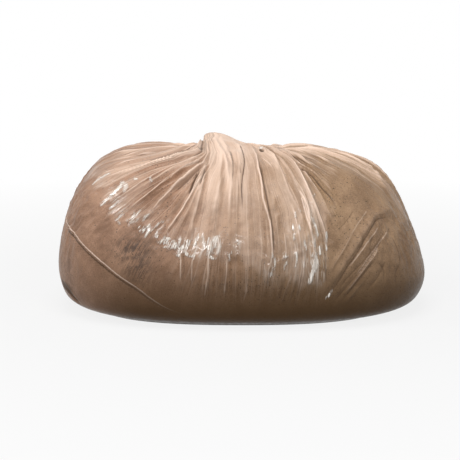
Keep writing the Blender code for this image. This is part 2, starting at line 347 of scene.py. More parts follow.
front_angles = np.linspace(180, 360, FRONT_COLUMNS, endpoint=False)
back_angles = np.linspace(0, 180, BACK_COLUMNS, endpoint=False)
angles = np.radians(np.concatenate([back_angles, front_angles]))
body_rows = np.interp(
    np.arange(ROW_PLACES[-1][1] + 1), [n for _, n in ROW_PLACES], [t for t, _ in ROW_PLACES]
)
neck_rows = np.linspace(0, 1, NECK_ROWS + 1)[1:]
A, T = np.meshgrid(angles, body_rows)
body = smooth_bag(A, T)
NA, NT = np.meshgrid(angles, neck_rows)
base = np.concatenate([body, neck(NA, NT)], 0)
A = np.concatenate([A, NA], 0)
T = np.concatenate([T, 1 + NECK_SHARE * NT], 0)
print("grid", base.shape[:2], "rows and columns,", 2 * base.shape[0] * base.shape[1], "triangles")


def normals_of(points):
    """Outward normals of a grid whose columns close into a ring."""
    around = np.roll(points, -1, 1) - np.roll(points, 1, 1)
    along = np.gradient(points, axis=0)
    n = np.cross(around, along)
    return n / np.maximum(np.linalg.norm(n, axis=-1, keepdims=True), 1e-12)


# %% Smooth the way to the neck
# The rows around the foot of the neck are eased into each other
FIRST_EASED, PAST_EASED = 120, 168
EASING_ROUNDS = 40
# In front the film climbs straight from the top of the bag to the bend of the neck. That stretch is
# drawn again as one smooth curve for each column, which leaves and meets the film with these pulls.
LEAVE_T, MEET_T = 0.60, 1.10
LEAVE_PULL, MEET_PULL = 0.8, 0.35

leave = int(np.argmin(np.abs(T[:, 0] - LEAVE_T)))
meet = int(np.argmin(np.abs(T[:, 0] - MEET_T)))
for _ in range(EASING_ROUNDS):
    neighbours = base[FIRST_EASED - 1:PAST_EASED - 1] + base[FIRST_EASED + 1:PAST_EASED + 1]
    base[FIRST_EASED:PAST_EASED] = base[FIRST_EASED:PAST_EASED] * 0.5 + neighbours * 0.25
start, end = base[leave], base[meet]
chord = np.linalg.norm(end - start, axis=-1, keepdims=True)
go = base[leave + 2] - base[leave - 2]
go = go / np.linalg.norm(go, axis=-1, keepdims=True) * chord * LEAVE_PULL
come = base[meet + 2] - base[meet - 2]
come = come / np.linalg.norm(come, axis=-1, keepdims=True) * chord * MEET_PULL
steps = np.linalg.norm(np.diff(base[leave:meet + 1], axis=0), axis=-1)
f = np.concatenate([np.zeros((1, len(angles))), np.cumsum(steps, 0)], 0)
f = (f / f[-1])[..., None]
arc = ((2 * f**3 - 3 * f**2 + 1) * start + (f**3 - 2 * f**2 + f) * go
       + (3 * f**2 - 2 * f**3) * end + (f**3 - f**2) * come)
facing_front = ease(0.25, 0.8, -np.sin(angles))[None, :, None]
base[leave:meet + 1] = base[leave:meet + 1] * (1 - facing_front) + arc * facing_front
out = normals_of(base)
print("drawn again from row", leave, "to row", meet)

# %% [markdown]
# ## Where the pleats run
#
# Pleats don't follow the columns. They leave the two ends of the gathered neck in a fan, and drop
# straight down the middle. Guide lines give that flow: each row of the table is one line, by its
# angle at eight heights. Between the lines the flow is blended, and it numbers the film across its
# pleats.

# %% Guide lines
GUIDE_HEIGHTS = (0.20, 0.35, 0.45, 0.55, 0.65, 0.75, 0.85, 1.0)
GUIDES = [
    (182, 182, 182, 182, 183, 186, 190, 190),
    (188, 190, 193, 198, 206, 219, 222, 205),
    (195, 198, 203, 217, 237, 245, 236, 212),
    (208, 210, 223, 236, 245, 249, 240, 218),
    (222, 226, 238, 249, 253, 252, 244, 224),
    (238, 247, 254, 257, 258, 256, 248, 232),
    (252, 258, 259, 259, 260, 259, 253, 240),
    (262, 264, 264.5, 265.5, 266, 264, 260, 250),
    (268, 268, 268, 268, 268.5, 268, 268, 263),
    (270.5, 270.5, 270.5, 270.5, 271.5, 273, 277, 279),
    (274, 275.5, 275.5, 275, 276, 279, 286, 294),
    (282, 284, 285, 284, 286, 290, 300, 308),
    (291, 291, 290.5, 290.5, 293, 297, 308, 318),
    (302, 301, 299, 297, 295, 300, 316, 328),
    (318, 316, 313, 309, 305, 310, 325, 337),
    (340, 337, 334, 330, 328, 332, 342, 350),
]
BACK_GUIDES = 10
BACK_GUIDE_STEP = 18.2
# How much film is gathered from each guide line to the next one
GUIDE_GAPS = (
    0.8, 0.8, 1.0, 1.2, 1.4, 1.0, 0.8, 0.7, 0.6, 0.8, 1.0, 0.9, 1.0, 1.3, 1.9, 2.1,
    1.2, 1.2, 1.0, 1.0, 1.0, 1.0, 1.0, 1.0, 1.0, 1.0,
)
guide_places = np.concatenate([[0], np.cumsum(GUIDE_GAPS)])

table = np.array(GUIDES, float)
back_lines = [[360 + BACK_GUIDE_STEP * k] * len(GUIDE_HEIGHTS) for k in range(BACK_GUIDES)]
back_part = np.array(back_lines, float)
table = np.concatenate([table, back_part], 0)
flow_lines = guide_places[-1]
whole = np.concatenate([table, table[:1] + 360], 0)
flow = np.empty_like(A)
for row in range(A.shape[0]):
    lines = [np.interp(T[row, 0], GUIDE_HEIGHTS, line) for line in whole]
    degrees = np.degrees(A[row])
    degrees = np.where(degrees < lines[0], degrees + 360, degrees)
    flow[row] = np.interp(degrees, lines, guide_places)
print("flow from", flow.min().round(2), "to", flow.max().round(2), "over", len(table), "guide lines")

# %% Where the loose film ends
# Below this line around the bag, given as (angle, t), the film is drawn tight over the ash
EDGE = (
    (0, 0.43), (20, 0.50), (42, 0.42), (60, 0.47), (83, 0.39), (104, 0.45), (128, 0.38),
    (150, 0.48), (180, 0.52), (203, 0.504), (216, 0.469), (223, 0.446),
    (231, 0.414), (237, 0.404), (242, 0.398), (246.5, 0.378), (251.5, 0.353), (256, 0.341),
    (261.5, 0.328), (269, 0.325), (271, 0.31), (273.5, 0.255), (280, 0.25), (288.5, 0.236),
    (290, 0.30), (293, 0.41), (298, 0.44), (300.5, 0.50), (303, 0.556), (312, 0.589), (326, 0.62),
    (331, 0.54), (337, 0.456), (350, 0.40),
)
edge_angles, edge_heights = np.array(EDGE, float).T
edge = np.interp(np.degrees(A), edge_angles, edge_heights, period=360)
edge += 0.012 * np.sin(flow * 7.3) + 0.007 * np.sin(flow * 17.1 + 1.2)
above_edge = T - edge
loose = ease(-0.008, 0.022, above_edge)
print("loose film covers", (loose.mean() * 100).round(), "% of the grid")

# %% Rows of pleats
# The strip of doubled film fades between these distances from its crest, in metres
STRIP_BEFORE_CREST = (0.0008, 0.0024)
STRIP_AFTER_CREST = (0.0004, 0.0011)
SLIT_WIDTH = 0.0010


def step_per_flow(points):
    """How many metres one unit of the flow covers, at each point of the grid."""
    length = np.linalg.norm(np.roll(points, -1, 1) - np.roll(points, 1, 1), axis=-1)
    change = (np.roll(flow, -1, 1) - np.roll(flow, 1, 1)) % flow_lines
    return length / np.maximum(change, 1e-4)


spread = step_per_flow(base)


def pleats(seed, count, height, reach, run, tight=0.42, sharp=1.5, lean=(0.3, 0.7)):
    """A ring of uneven pleats, each with its own width, height and reach.

    Gives their lift, the pale strip of doubled film beside each crest, and painted shade for the
    dark slit at each foot. Lean is where the crest stands across its pleat.
    """
    chance = np.random.default_rng(seed)
    widths = chance.uniform(0.5, 1.6, count)
    edges = np.concatenate([[0], np.cumsum(widths)]) / widths.sum() * flow_lines
    crest = chance.uniform(lean[0], lean[1], count)
    size = chance.uniform(0.35, 1.0, count)
    start = chance.uniform(reach[0], reach[1], count)
    sway = 0.11 * np.sin(T * 9 + flow * 1.3 + seed) + 0.06 * np.sin(T * 23 + flow * 2.1 + 2 * seed)
    place = (flow + sway) % flow_lines
    cell = np.clip(np.searchsorted(edges, place, side="right") - 1, 0, count - 1)
    wide = edges[cell + 1] - edges[cell]
    x = (place - edges[cell]) / wide
    c = crest[cell]
    side = np.clip(np.where(x < c, x / c, (1 - x) / (1 - c)), 0, 1)
    room = wide * spread
    tall = np.minimum(height * size[cell], tight * room)
    grown = ease(start[cell], start[cell] + run, above_edge)
    to_crest = np.abs(x - c) * room
    doubled = 1 - np.where(x < c, ease(*STRIP_BEFORE_CREST, to_crest), ease(*STRIP_AFTER_CREST, to_crest))
    to_foot = np.minimum(x, 1 - x) * room
    slit = np.exp(-((to_foot / SLIT_WIDTH) ** 2))
    return side**sharp * tall * grown, doubled * size[cell] * grown, slit * size[cell] * grown


big, big_crest, big_slit_shade = pleats(3, 32, 0.0068, (-0.05, 0.06), 0.24, sharp=1.5)
middle_size, middle_crest, middle_slit_shade = pleats(
    11, 74, 0.0026, (-0.03, 0.10), 0.12, sharp=2.0, lean=(0.2, 0.8)
)
small, small_crest, _ = pleats(23, 170, 0.0008, (0.0, 0.16), 0.10, tight=0.3)
print("pleats in three sizes, the biggest", (big.max() * 1000).round(1), "mm high")


# %% Where the pleats are calmer
def patch(angle, t, wide, tall):
    """A soft patch on the film, 1 in its middle."""
    gap = (np.degrees(A) - angle + 180) % 360 - 180
    return np.exp(-((gap / wide) ** 2 + ((T - t) / tall) ** 2))


# The lobe is the smooth, full part of the left shoulder, and the flat part the middle of the front
in_front = ease(0.3, 0.9, -np.sin(A))
lobe = patch(196, 0.80, 17, 0.15)
at_neck = 1 - ease(0.86, 1.02, T) * (0.45 + 0.47 * in_front)
calm = 1 - ease(0.72, 0.9, T) * (0.35 + 0.6 * in_front)
flat_part = np.exp(-(((np.degrees(A) - 270) / 19) ** 4))
calm = calm * (1 - 0.8 * flat_part) * (1 - 0.8 * lobe)
crests = 0.75 * big_crest + (0.6 * middle_crest + 0.25 * small_crest) * calm
crests = np.clip(crests * (1 - 0.7 * flat_part) * (1 - 0.7 * lobe), 0, 1)
lift = (big * (1 - 0.55 * flat_part) * (1 - 0.6 * lobe) + (middle_size + small) * calm) * at_neck
# Painted shade: the slit number darkens the colour at the foot of each pleat
slit_shade = np.clip((0.7 * big_slit_shade + 0.4 * middle_slit_shade * calm) * (1 - 0.6 * flat_part), 0, 1)
print("pleats stand up to", (lift.max() * 1000).round(1), "mm off the ash")

# %% [markdown]
# ## Folds that stand out
#
# On top of the even pleats lie some eighty folds that give this bag its own face: the broad milky
# bands beside the neck, the dark slits between them, and the long diagonal creases low on both
# ends. Each one is a line on the film with a width and a height. There are five kinds: a ridge, a
# groove, a band, which is a ridge with a flat top, a step, where one layer of film ends on another,
# and a seam, which is a hair-thin crease that shows mostly as a pale line or a dark line. The dark
# of the slits, grooves and dark seams is painted shade in the film's colour.
#
# Most folds were picked in the photograph, at places counted in pixels from its top left
# corner. To lay them on the film, the smooth bag is drawn as the photograph's camera saw it, and
# each picked place takes the angle and the height t of the nearest film point that faces it. Other
# folds, and those that had to be moved, are given by angle and t.

# %% From the picture to the film
# The photograph's camera has the distance and the height angle of this scene's camera. It is turned
# a little, and the point given next, inside the bag, appears at PICTURE_MIDDLE.
PICTURE_ROLL = math.radians(-0.13)
PICTURE_AIM = np.array([0, 0, 0.09])
# The focal length and the point that the camera aims at, in pixels
PICTURE_FOCAL = 1366.0
PICTURE_MIDDLE = (241.4, 222.3)
# The film is tried at every half degree over the front, and at this many heights
FILM_DEGREES = np.arange(150, 391, 0.5)
FILM_HEIGHTS = np.linspace(0, 1, 400)

film_angle, film_height = np.meshgrid(np.radians(FILM_DEGREES), FILM_HEIGHTS, indexing="ij")
film_point = smooth_bag(film_angle, film_height)
to_camera = np.array([0, -math.cos(CAMERA_HEIGHT_ANGLE), math.sin(CAMERA_HEIGHT_ANGLE)])
to_right = np.array([1.0, 0, 0])
picture_camera = PICTURE_AIM + to_camera * CAMERA_DISTANCE
from_camera = film_point - picture_camera
depth = -(from_camera @ to_camera)
right_of_aim = from_camera @ to_right / depth * PICTURE_FOCAL
above_aim = from_camera @ np.cross(to_camera, to_right) / depth * PICTURE_FOCAL
seen_x = PICTURE_MIDDLE[0] + right_of_aim * math.cos(PICTURE_ROLL) - above_aim * math.sin(PICTURE_ROLL)
seen_y = PICTURE_MIDDLE[1] - right_of_aim * math.sin(PICTURE_ROLL) - above_aim * math.cos(PICTURE_ROLL)
outward = np.cross(np.gradient(film_point, axis=0), np.gradient(film_point, axis=1))
faces_away = np.einsum("ijk,ijk->ij", outward, from_camera) >= 0


def picked(*spots):
    """Places on the film, as (angle, t), for places that were picked in the picture."""
    places = []
    for x, y in spots:
        miss = (seen_x - x) ** 2 + (seen_y - y) ** 2 + np.where(faces_away, 1e6, 0)
        nearest = np.unravel_index(miss.argmin(), miss.shape)
        angle, t = math.degrees(film_angle[nearest]), film_height[nearest]
        places.append((round(angle, 1), round(float(t), 3)))
    return tuple(places)


print("the middle of the picture lies on the film at", picked(PICTURE_MIDDLE))

# %% Table of folds
# Kind, width mm, height mm, milkiness, painted shade, and places as (angle, t) or picked in the picture
FOLDS = (
    ("seam", 1.6, -0.3, 0, 0.5, (
        (322.5, 0.381), (323.5, 0.348), (323, 0.316), (318.5, 0.276), (319.5, 0.231)
    )),
    ("seam", 2.4, 0.8, 0.42, 0, ((315.5, 0.406), (307.5, 0.368), (302, 0.333), (297.5, 0.296))),
    ("seam", 2.4, 0.7, 0.36, 0, ((320.5, 0.396), (312.5, 0.363), (306, 0.326), (301.5, 0.288))),
    ("seam", 2.2, -0.6, 0, 0.36, ((306, 0.449), (301, 0.421), (296.5, 0.398))),
    ("seam", 2.2, 0.5, 0.24, 0, ((313, 0.449), (306, 0.416), (300.5, 0.383))),
    ("seam", 2.2, 0.5, 0.4, 0, ((332.5, 0.617), (329.5, 0.561), (331, 0.529))),
    ("seam", 1.8, -0.4, 0, 0.34, ((311.5, 0.386), (308, 0.356), (308.5, 0.328))),
    ("seam", 2.2, -0.6, 0, 0.34, ((314, 0.316), (310, 0.276), (305, 0.231))),
    ("seam", 2.4, 0.7, 0.6, 0, ((230, 0.86), (224, 0.76), (218, 0.68), (212, 0.62), (206, 0.575))),
    ("seam", 2.4, 0.6, 0.5, 0, ((212, 0.86), (205, 0.78), (200, 0.7), (198, 0.64))),
    ("seam", 2.4, -0.6, 0, 0.55, ((237, 0.84), (230, 0.74), (223, 0.66), (216, 0.6))),
    ("seam", 2.4, -0.6, 0, 0.5, ((246, 0.8), (239, 0.7), (232, 0.63), (224, 0.57))),
    ("groove", 2.2, 2.6, 0, 0.45, (
        (222, 0.87), (216, 0.8), (211, 0.75), (208, 0.7), (206, 0.67), (204.5, 0.645)
    )),
    ("band", 9, 3, 0.3, 0, ((205, 0.87), (200, 0.8), (196, 0.74), (193, 0.68), (192, 0.62))),
    ("ridge", 2.6, 3, 0.45, 0, picked(
        (206, 152), (180, 160), (158, 165), (140, 169), (118, 175), (97, 180)
    )),
    ("groove", 1.4, 1.6, 0, 0.3, picked((122, 169), (110, 172), (97, 176))),
    ("ridge", 2.2, 2.6, 0.45, 0, picked(
        (207, 155), (185, 163), (165, 171), (148, 180), (128, 192), (108, 204)
    )),
    ("ridge", 2, 2.6, 0.4, 0, picked(
        (207, 157), (190, 164), (172, 176), (157, 188), (140, 200), (122, 214)
    )),
    ("ridge", 2, 2.8, 0.45, 0, picked(
        (207, 160), (196, 169), (182, 181), (167, 195), (154, 207), (146, 220)
    )),
    ("groove", 1.4, 3, 0, 0.85, picked((200, 172), (195, 180), (190, 191), (186, 199))),
    ("groove", 1.6, 2.2, 0, 0.45, picked((209, 157), (201, 160), (185, 168), (170, 176), (155, 186))),
    ("groove", 1.3, 2.2, 0, 0.4, picked((206, 163), (196, 173), (186, 182), (172, 195))),
    ("groove", 1.2, 2.2, 0, 0.6, picked((206, 169), (203, 178), (198, 190))),
    ("ridge", 1.7, 2.8, 0.6, 0, picked((206, 172), (197, 185), (188, 200), (175, 219), (160, 239))),
    ("step", 2.6, 3.4, 0.5, 0, picked((208, 160), (203, 180), (198, 200), (192, 222), (186, 248))),
    ("ridge", 11, 0.9, 0.42, 0, (
        (258, 1.1), (259, 1), (261, 0.92), (265, 0.75), (267, 0.6), (267.5, 0.47), (267.5, 0.4)
    )),
    ("band", 9, 1.6, 0.33, 0, (
        (252, 1.12), (253, 1), (254.5, 0.92), (259, 0.75), (261.5, 0.6), (263, 0.504), (263, 0.441),
        (262, 0.373)
    )),
    ("groove", 2.6, 0.8, 0, 0.1, picked((224, 165), (224, 180), (223, 196))),
    ("seam", 2.2, -0.5, 0, 0.7, ((267.3, 0.8), (268, 0.767), (268, 0.649), (268, 0.576), (268, 0.541))),
    ("seam", 2.2, -0.6, 0, 0.85, (
        (277.5, 0.88), (274.5, 0.8), (271, 0.652), (270, 0.546), (270, 0.479), (270, 0.439)
    )),
    ("ridge", 3, 2, 0.3, 0, picked((238, 150), (238, 180), (236, 215), (235, 240))),
    ("ridge", 3, 1.6, 0.25, 0, picked((228, 150), (227, 175), (226, 205))),
    ("ridge", 2.2, 3, 0.6, 0, picked(
        (253, 150), (257, 165), (260, 180), (263, 200), (268, 222), (270, 240), (271, 256), (268, 272),
        (263, 290), (259, 305)
    )),
    ("groove", 1.3, 3, 0, 0.65, picked(
        (257, 158), (261, 173), (265, 195), (270, 225), (273, 245), (272, 260), (269, 274)
    )),
    ("ridge", 1, 1.6, 0.4, 0, picked((262, 157), (267, 163), (271, 169))),
    ("groove", 1.8, 2.2, 0, 0.9, ((292.5, 0.825), (290.5, 0.8), (288.5, 0.765))),
    ("step", 2.6, 3, 0.4, 0, picked(
        (266, 151), (276, 162), (284, 180), (291, 197), (300, 215), (306, 232)
    )),
    ("band", 7.5, 2.2, 0.27, 0, picked(
        (272, 151), (285, 162), (295, 178), (303, 195), (310, 212), (316, 232), (320, 250)
    )),
    ("ridge", 1.8, 2.6, 0.7, 0, picked(
        (280, 155), (292, 166), (302, 184), (310, 200), (318, 216), (324, 234), (325, 252)
    )),
    ("groove", 1, 1.6, 0, 0.5, picked((324.5, 254), (325, 270), (325.5, 286))),
    ("groove", 1.5, 2.6, 0, 0.6, picked(
        (291, 165), (302, 171), (312, 177), (320, 187), (332, 200), (336, 212)
    )),
    ("ridge", 1.1, 1.8, 0.75, 0, picked((296, 190), (305, 208), (309, 225), (312, 245))),
    ("ridge", 1.3, 2, 0.6, 0, picked((300, 200), (306, 220), (311, 240), (313, 262), (310, 282))),
    ("ridge", 1.1, 1.4, 0.5, 0, picked((290, 205), (296, 228), (300, 250))),
    ("ridge", 1.1, 1.4, 0.5, 0, picked((283, 230), (284, 250), (284, 264))),
    ("ridge", 1.1, 1.4, 0.5, 0, picked((293, 240), (294, 258), (293, 272))),
    ("ridge", 1.1, 1.4, 0.45, 0, picked((303, 252), (303, 268), (301, 282))),
    ("ridge", 3.5, 2, 0.3, 0, picked((345, 158), (365, 168), (382, 185), (396, 203))),
    ("ridge", 6.5, 2.5, 0.26, 0, picked(
        (394, 207), (382, 212), (373, 217), (365, 228), (357, 241), (346, 259), (334, 277), (322, 292),
        (312, 300)
    )),
    ("seam", 2.4, -1.3, 0, 0.6, picked(
        (386, 218), (376, 220), (368, 231), (359, 248), (347, 268), (335, 287), (323, 301)
    )),
    ("seam", 2.4, -1.2, 0, 0.5, picked((383, 231), (370, 252), (348, 278), (335, 294))),
    ("seam", 2.4, -1.2, 0, 0.45, picked((381, 240), (369, 258), (350, 283), (328, 307))),
    ("seam", 2.5, 1.2, 0.36, 0, picked((376, 250), (362, 270), (342, 295))),
    ("seam", 2.4, -1.1, 0, 0.45, picked((372, 262), (358, 280), (340, 302))),
    ("ridge", 1.2, 1.2, 0.1, 0, picked((366, 278), (352, 294), (342, 306))),
    ("ridge", 1.6, 1.6, 0.2, 0, picked((352, 232), (345, 245), (335, 262), (328, 275))),
    ("groove", 1, 1.2, 0, 0.25, picked((376, 262), (382, 270), (383, 281))),
    ("seam", 2.6, 0.5, 0.85, 0, (
        (186, 0.375), (197.5, 0.362), (208.5, 0.349), (219.5, 0.322), (227.5, 0.299), (234, 0.274),
        (242.5, 0.234), (247, 0.204), (252, 0.169), (258, 0.13)
    )),
    ("seam", 2.6, -0.5, 0, 1, (
        (197.5, 0.353), (208.5, 0.34), (219.5, 0.313), (227.5, 0.29), (234, 0.265), (242.5, 0.225),
        (247, 0.195), (252, 0.16)
    )),
    ("groove", 3.2, 1.6, 0, 0.95, ((193, 0.215), (199, 0.203), (203.5, 0.185), (207.5, 0.15), (211, 0.11))),
    ("ridge", 1.4, 1.4, 0.75, 0, picked((180, 252), (179, 268), (180, 283))),
    ("ridge", 1.4, 1.4, 0.6, 0, picked((192, 258), (191, 272), (190, 286))),
    ("ridge", 1.5, 1.8, 0.9, 0, picked((208, 236), (208, 255), (207, 275), (203, 302))),
    ("groove", 1, 1.4, 0, 0.35, picked((182, 250), (183, 268), (182, 284))),
    ("ridge", 1.4, 1.2, 0.65, 0, picked((226, 255), (225, 275), (222, 300))),
    ("groove", 1, 1.2, 0, 0.3, picked((236, 248), (235, 270), (231, 296))),
    ("ridge", 1.3, 1.2, 0.6, 0, picked((246, 262), (244, 285), (240, 306))),
    ("groove", 1.1, 1.4, 0, 0.3, picked((298, 272), (293, 290), (288, 306))),
    ("groove", 1.1, 1.2, 0, 0.3, picked((284, 278), (279, 294), (274, 306))),
    ("ridge", 1.1, 1.2, 0.25, 0, picked((290, 275), (285, 292), (280, 306))),
)
print(len(FOLDS), "folds")

# %% Lay the folds on the film
def curve_through(places, count=28):
    """Points along a smooth curve through a few places, given as angle and t."""
    stations = np.array(places, float).T
    at = np.linspace(0, 1, count)
    return np.stack([spline(row, at) for row in stations], -1)


def on_base(places):
    """Points in space for places on the film, in degrees and t, read from the grid."""
    row = np.interp(places[:, 1], T[:, 0], np.arange(len(T)))
    turned = np.concatenate([np.degrees(angles) - 360, np.degrees(angles), np.degrees(angles) + 360])
    column = np.interp(places[:, 0] % 360, turned, np.arange(len(turned)))
    r, c = np.floor(row).astype(int), np.floor(column).astype(int)
    r = np.minimum(r, len(T) - 2)
    u, v = (row - r)[:, None], (column - c)[:, None]
    c, d = c % len(angles), (c + 1) % len(angles)
    low = base[r, c] * (1 - v) + base[r, d] * v
    high = base[r + 1, c] * (1 - v) + base[r + 1, d] * v
    return low * (1 - u) + high * u


def along_line(line, points, normals):
    """For each point: its distance from a line, which side it is on, and how far along it is."""
    best = np.full(len(points), 1e9)
    share = np.zeros(len(points))
    side = np.zeros(len(points))
    lengths = np.linalg.norm(np.diff(line, axis=0), axis=1)
    starts = np.concatenate([[0], np.cumsum(lengths)])
    for k in range(len(line) - 1):
        a, d = line[k], line[k + 1] - line[k]
        rel = points - a
        f = np.clip(rel @ d / max(d @ d, 1e-12), 0, 1)
        gap = rel - f[:, None] * d
        distance = np.linalg.norm(gap, axis=1)
        nearer = distance < best
        best = np.where(nearer, distance, best)
        share = np.where(nearer, (starts[k] + f * lengths[k]) / starts[-1], share)
        turn = np.einsum("ij,ij->i", np.cross(np.broadcast_to(d, gap.shape), gap), normals)
        side = np.where(nearer, np.sign(turn), side)
    return best, side, share


# %% Seams that keep to the gathering
# Where along the gathering, from t, to t, milkiness, painted shade
FAN_LINES = (
    (12.2, 0.96, 0.60, 0.55, 0), (12.65, 0.94, 0.62, 0, 0.60), (13.2, 0.95, 0.60, 0.60, 0),
    (13.75, 0.93, 0.64, 0, 0.60), (14.5, 0.95, 0.62, 0.60, 0), (15.3, 0.93, 0.66, 0, 0.45),
    (16.0, 0.95, 0.62, 0.50, 0), (0.6, 0.94, 0.60, 0.45, 0), (1.25, 0.95, 0.66, 0, 0.50),
    (1.8, 0.95, 0.62, 0.50, 0), (2.5, 0.93, 0.66, 0, 0.45),
)


def follow(place, high, low):
    """Places down the film that keep to one part of the gathering."""
    places = []
    for t in np.linspace(high, low, 6):
        guides_here = [np.interp(t, GUIDE_HEIGHTS, line) for line in whole]
        places.append((np.interp(place, guide_places, guides_here), t))
    return tuple(places)


FAN_WIDTH = 2.4
FAN_HEIGHT = 0.6
fan_folds = tuple(
    ("seam", FAN_WIDTH, FAN_HEIGHT if milk > shade else -FAN_HEIGHT, milk, shade, follow(place, high, low))
    for place, high, low, milk, shade in FAN_LINES
)
print(len(fan_folds), "seams in the fan")

# %% Press all the folds into the film
# Every fold is a little narrower than its row says
THINNER = 0.78
# Thin lines are stored as distances in mm, up to this reach, and fade from FADE_FROM on
LINE_REACH = 4.0
FADE_FROM = 2.4
# Ridges and grooves up to this width in mm get a thin line too
THIN_FOLD = 2.6

flat_base = base.reshape(-1, 3)
flat_normals = out.reshape(-1, 3)
fold_lift = np.zeros(len(flat_base))
fold_milk = np.zeros(len(flat_base))
fold_shade = np.zeros(len(flat_base))
line_gap = {tone: np.full(len(flat_base), LINE_REACH) for tone in ("pale", "dark")}
line_strength = {tone: np.zeros(len(flat_base)) for tone in ("pale", "dark")}
for kind, width_mm, height_mm, milk, shade, places in FOLDS + fan_folds:
    line = on_base(curve_through(places))
    width = THINNER * width_mm / 1000
    margin = width * 5
    low, high = line.min(0) - margin, line.max(0) + margin
    chosen = np.where(np.all((flat_base > low) & (flat_base < high), axis=1))[0]
    distance, side, share = along_line(line, flat_base[chosen], flat_normals[chosen])
    ends = ease(0, 0.22, share) * (1 - ease(0.72, 1.0, share))
    if kind == "seam":
        ends = ease(0, 0.06, share) * (1 - ease(0.8, 1.0, share))
    x = distance / width
    if kind == "ridge":
        shape = np.exp(-x**1.3)
    elif kind == "seam":
        shape = np.exp(-x**2)
    elif kind == "groove":
        shape = -np.exp(-x**2) + 0.45 * np.exp(-(x - 1.9) ** 2 * 1.5)
    elif kind == "band":
        shape = 1 / (1 + x**4)
    else:
        shape = np.where(side < 0, np.exp(-x / 3.5), np.exp(-(x * 2.2) ** 2))
    near = np.exp(-x**2)
    pale = 1 - ease(0.8, 1.1, x) if kind == "band" else np.maximum(shape, 0) ** 1.6
    if kind == "seam" or (kind in ("ridge", "groove") and width_mm <= THIN_FOLD):
        tone = "pale" if milk > shade else "dark"
        beside = np.clip(side * distance * 1000, -LINE_REACH, LINE_REACH)
        nearer = np.abs(beside) < np.abs(line_gap[tone][chosen])
        line_gap[tone][chosen] = np.where(nearer, beside, line_gap[tone][chosen])
        strength = max(milk, shade) * ends * (1 - ease(FADE_FROM, LINE_REACH, distance * 1000))
        if kind != "seam":
            strength = strength * (0.5 + 0.5 * ease(0.25, 0.45, T.reshape(-1)[chosen]))
        line_strength[tone][chosen] = np.maximum(line_strength[tone][chosen], strength)
    if kind == "seam":
        pale, near = 0.35 * pale, 0.45 * near
    fold_lift[chosen] += shape * ends * height_mm / 1000
    fold_milk[chosen] += milk * ends * pale
    fold_shade[chosen] += shade * ends * near
grid_shape = base.shape[:2]
fold_lift = fold_lift.reshape(grid_shape)
fold_milk = fold_milk.reshape(grid_shape)
fold_shade = np.clip(fold_shade.reshape(grid_shape), 0, 1)
print("folds reach from", (fold_lift.min() * 1000).round(1), "to", (fold_lift.max() * 1000).round(1), "mm")
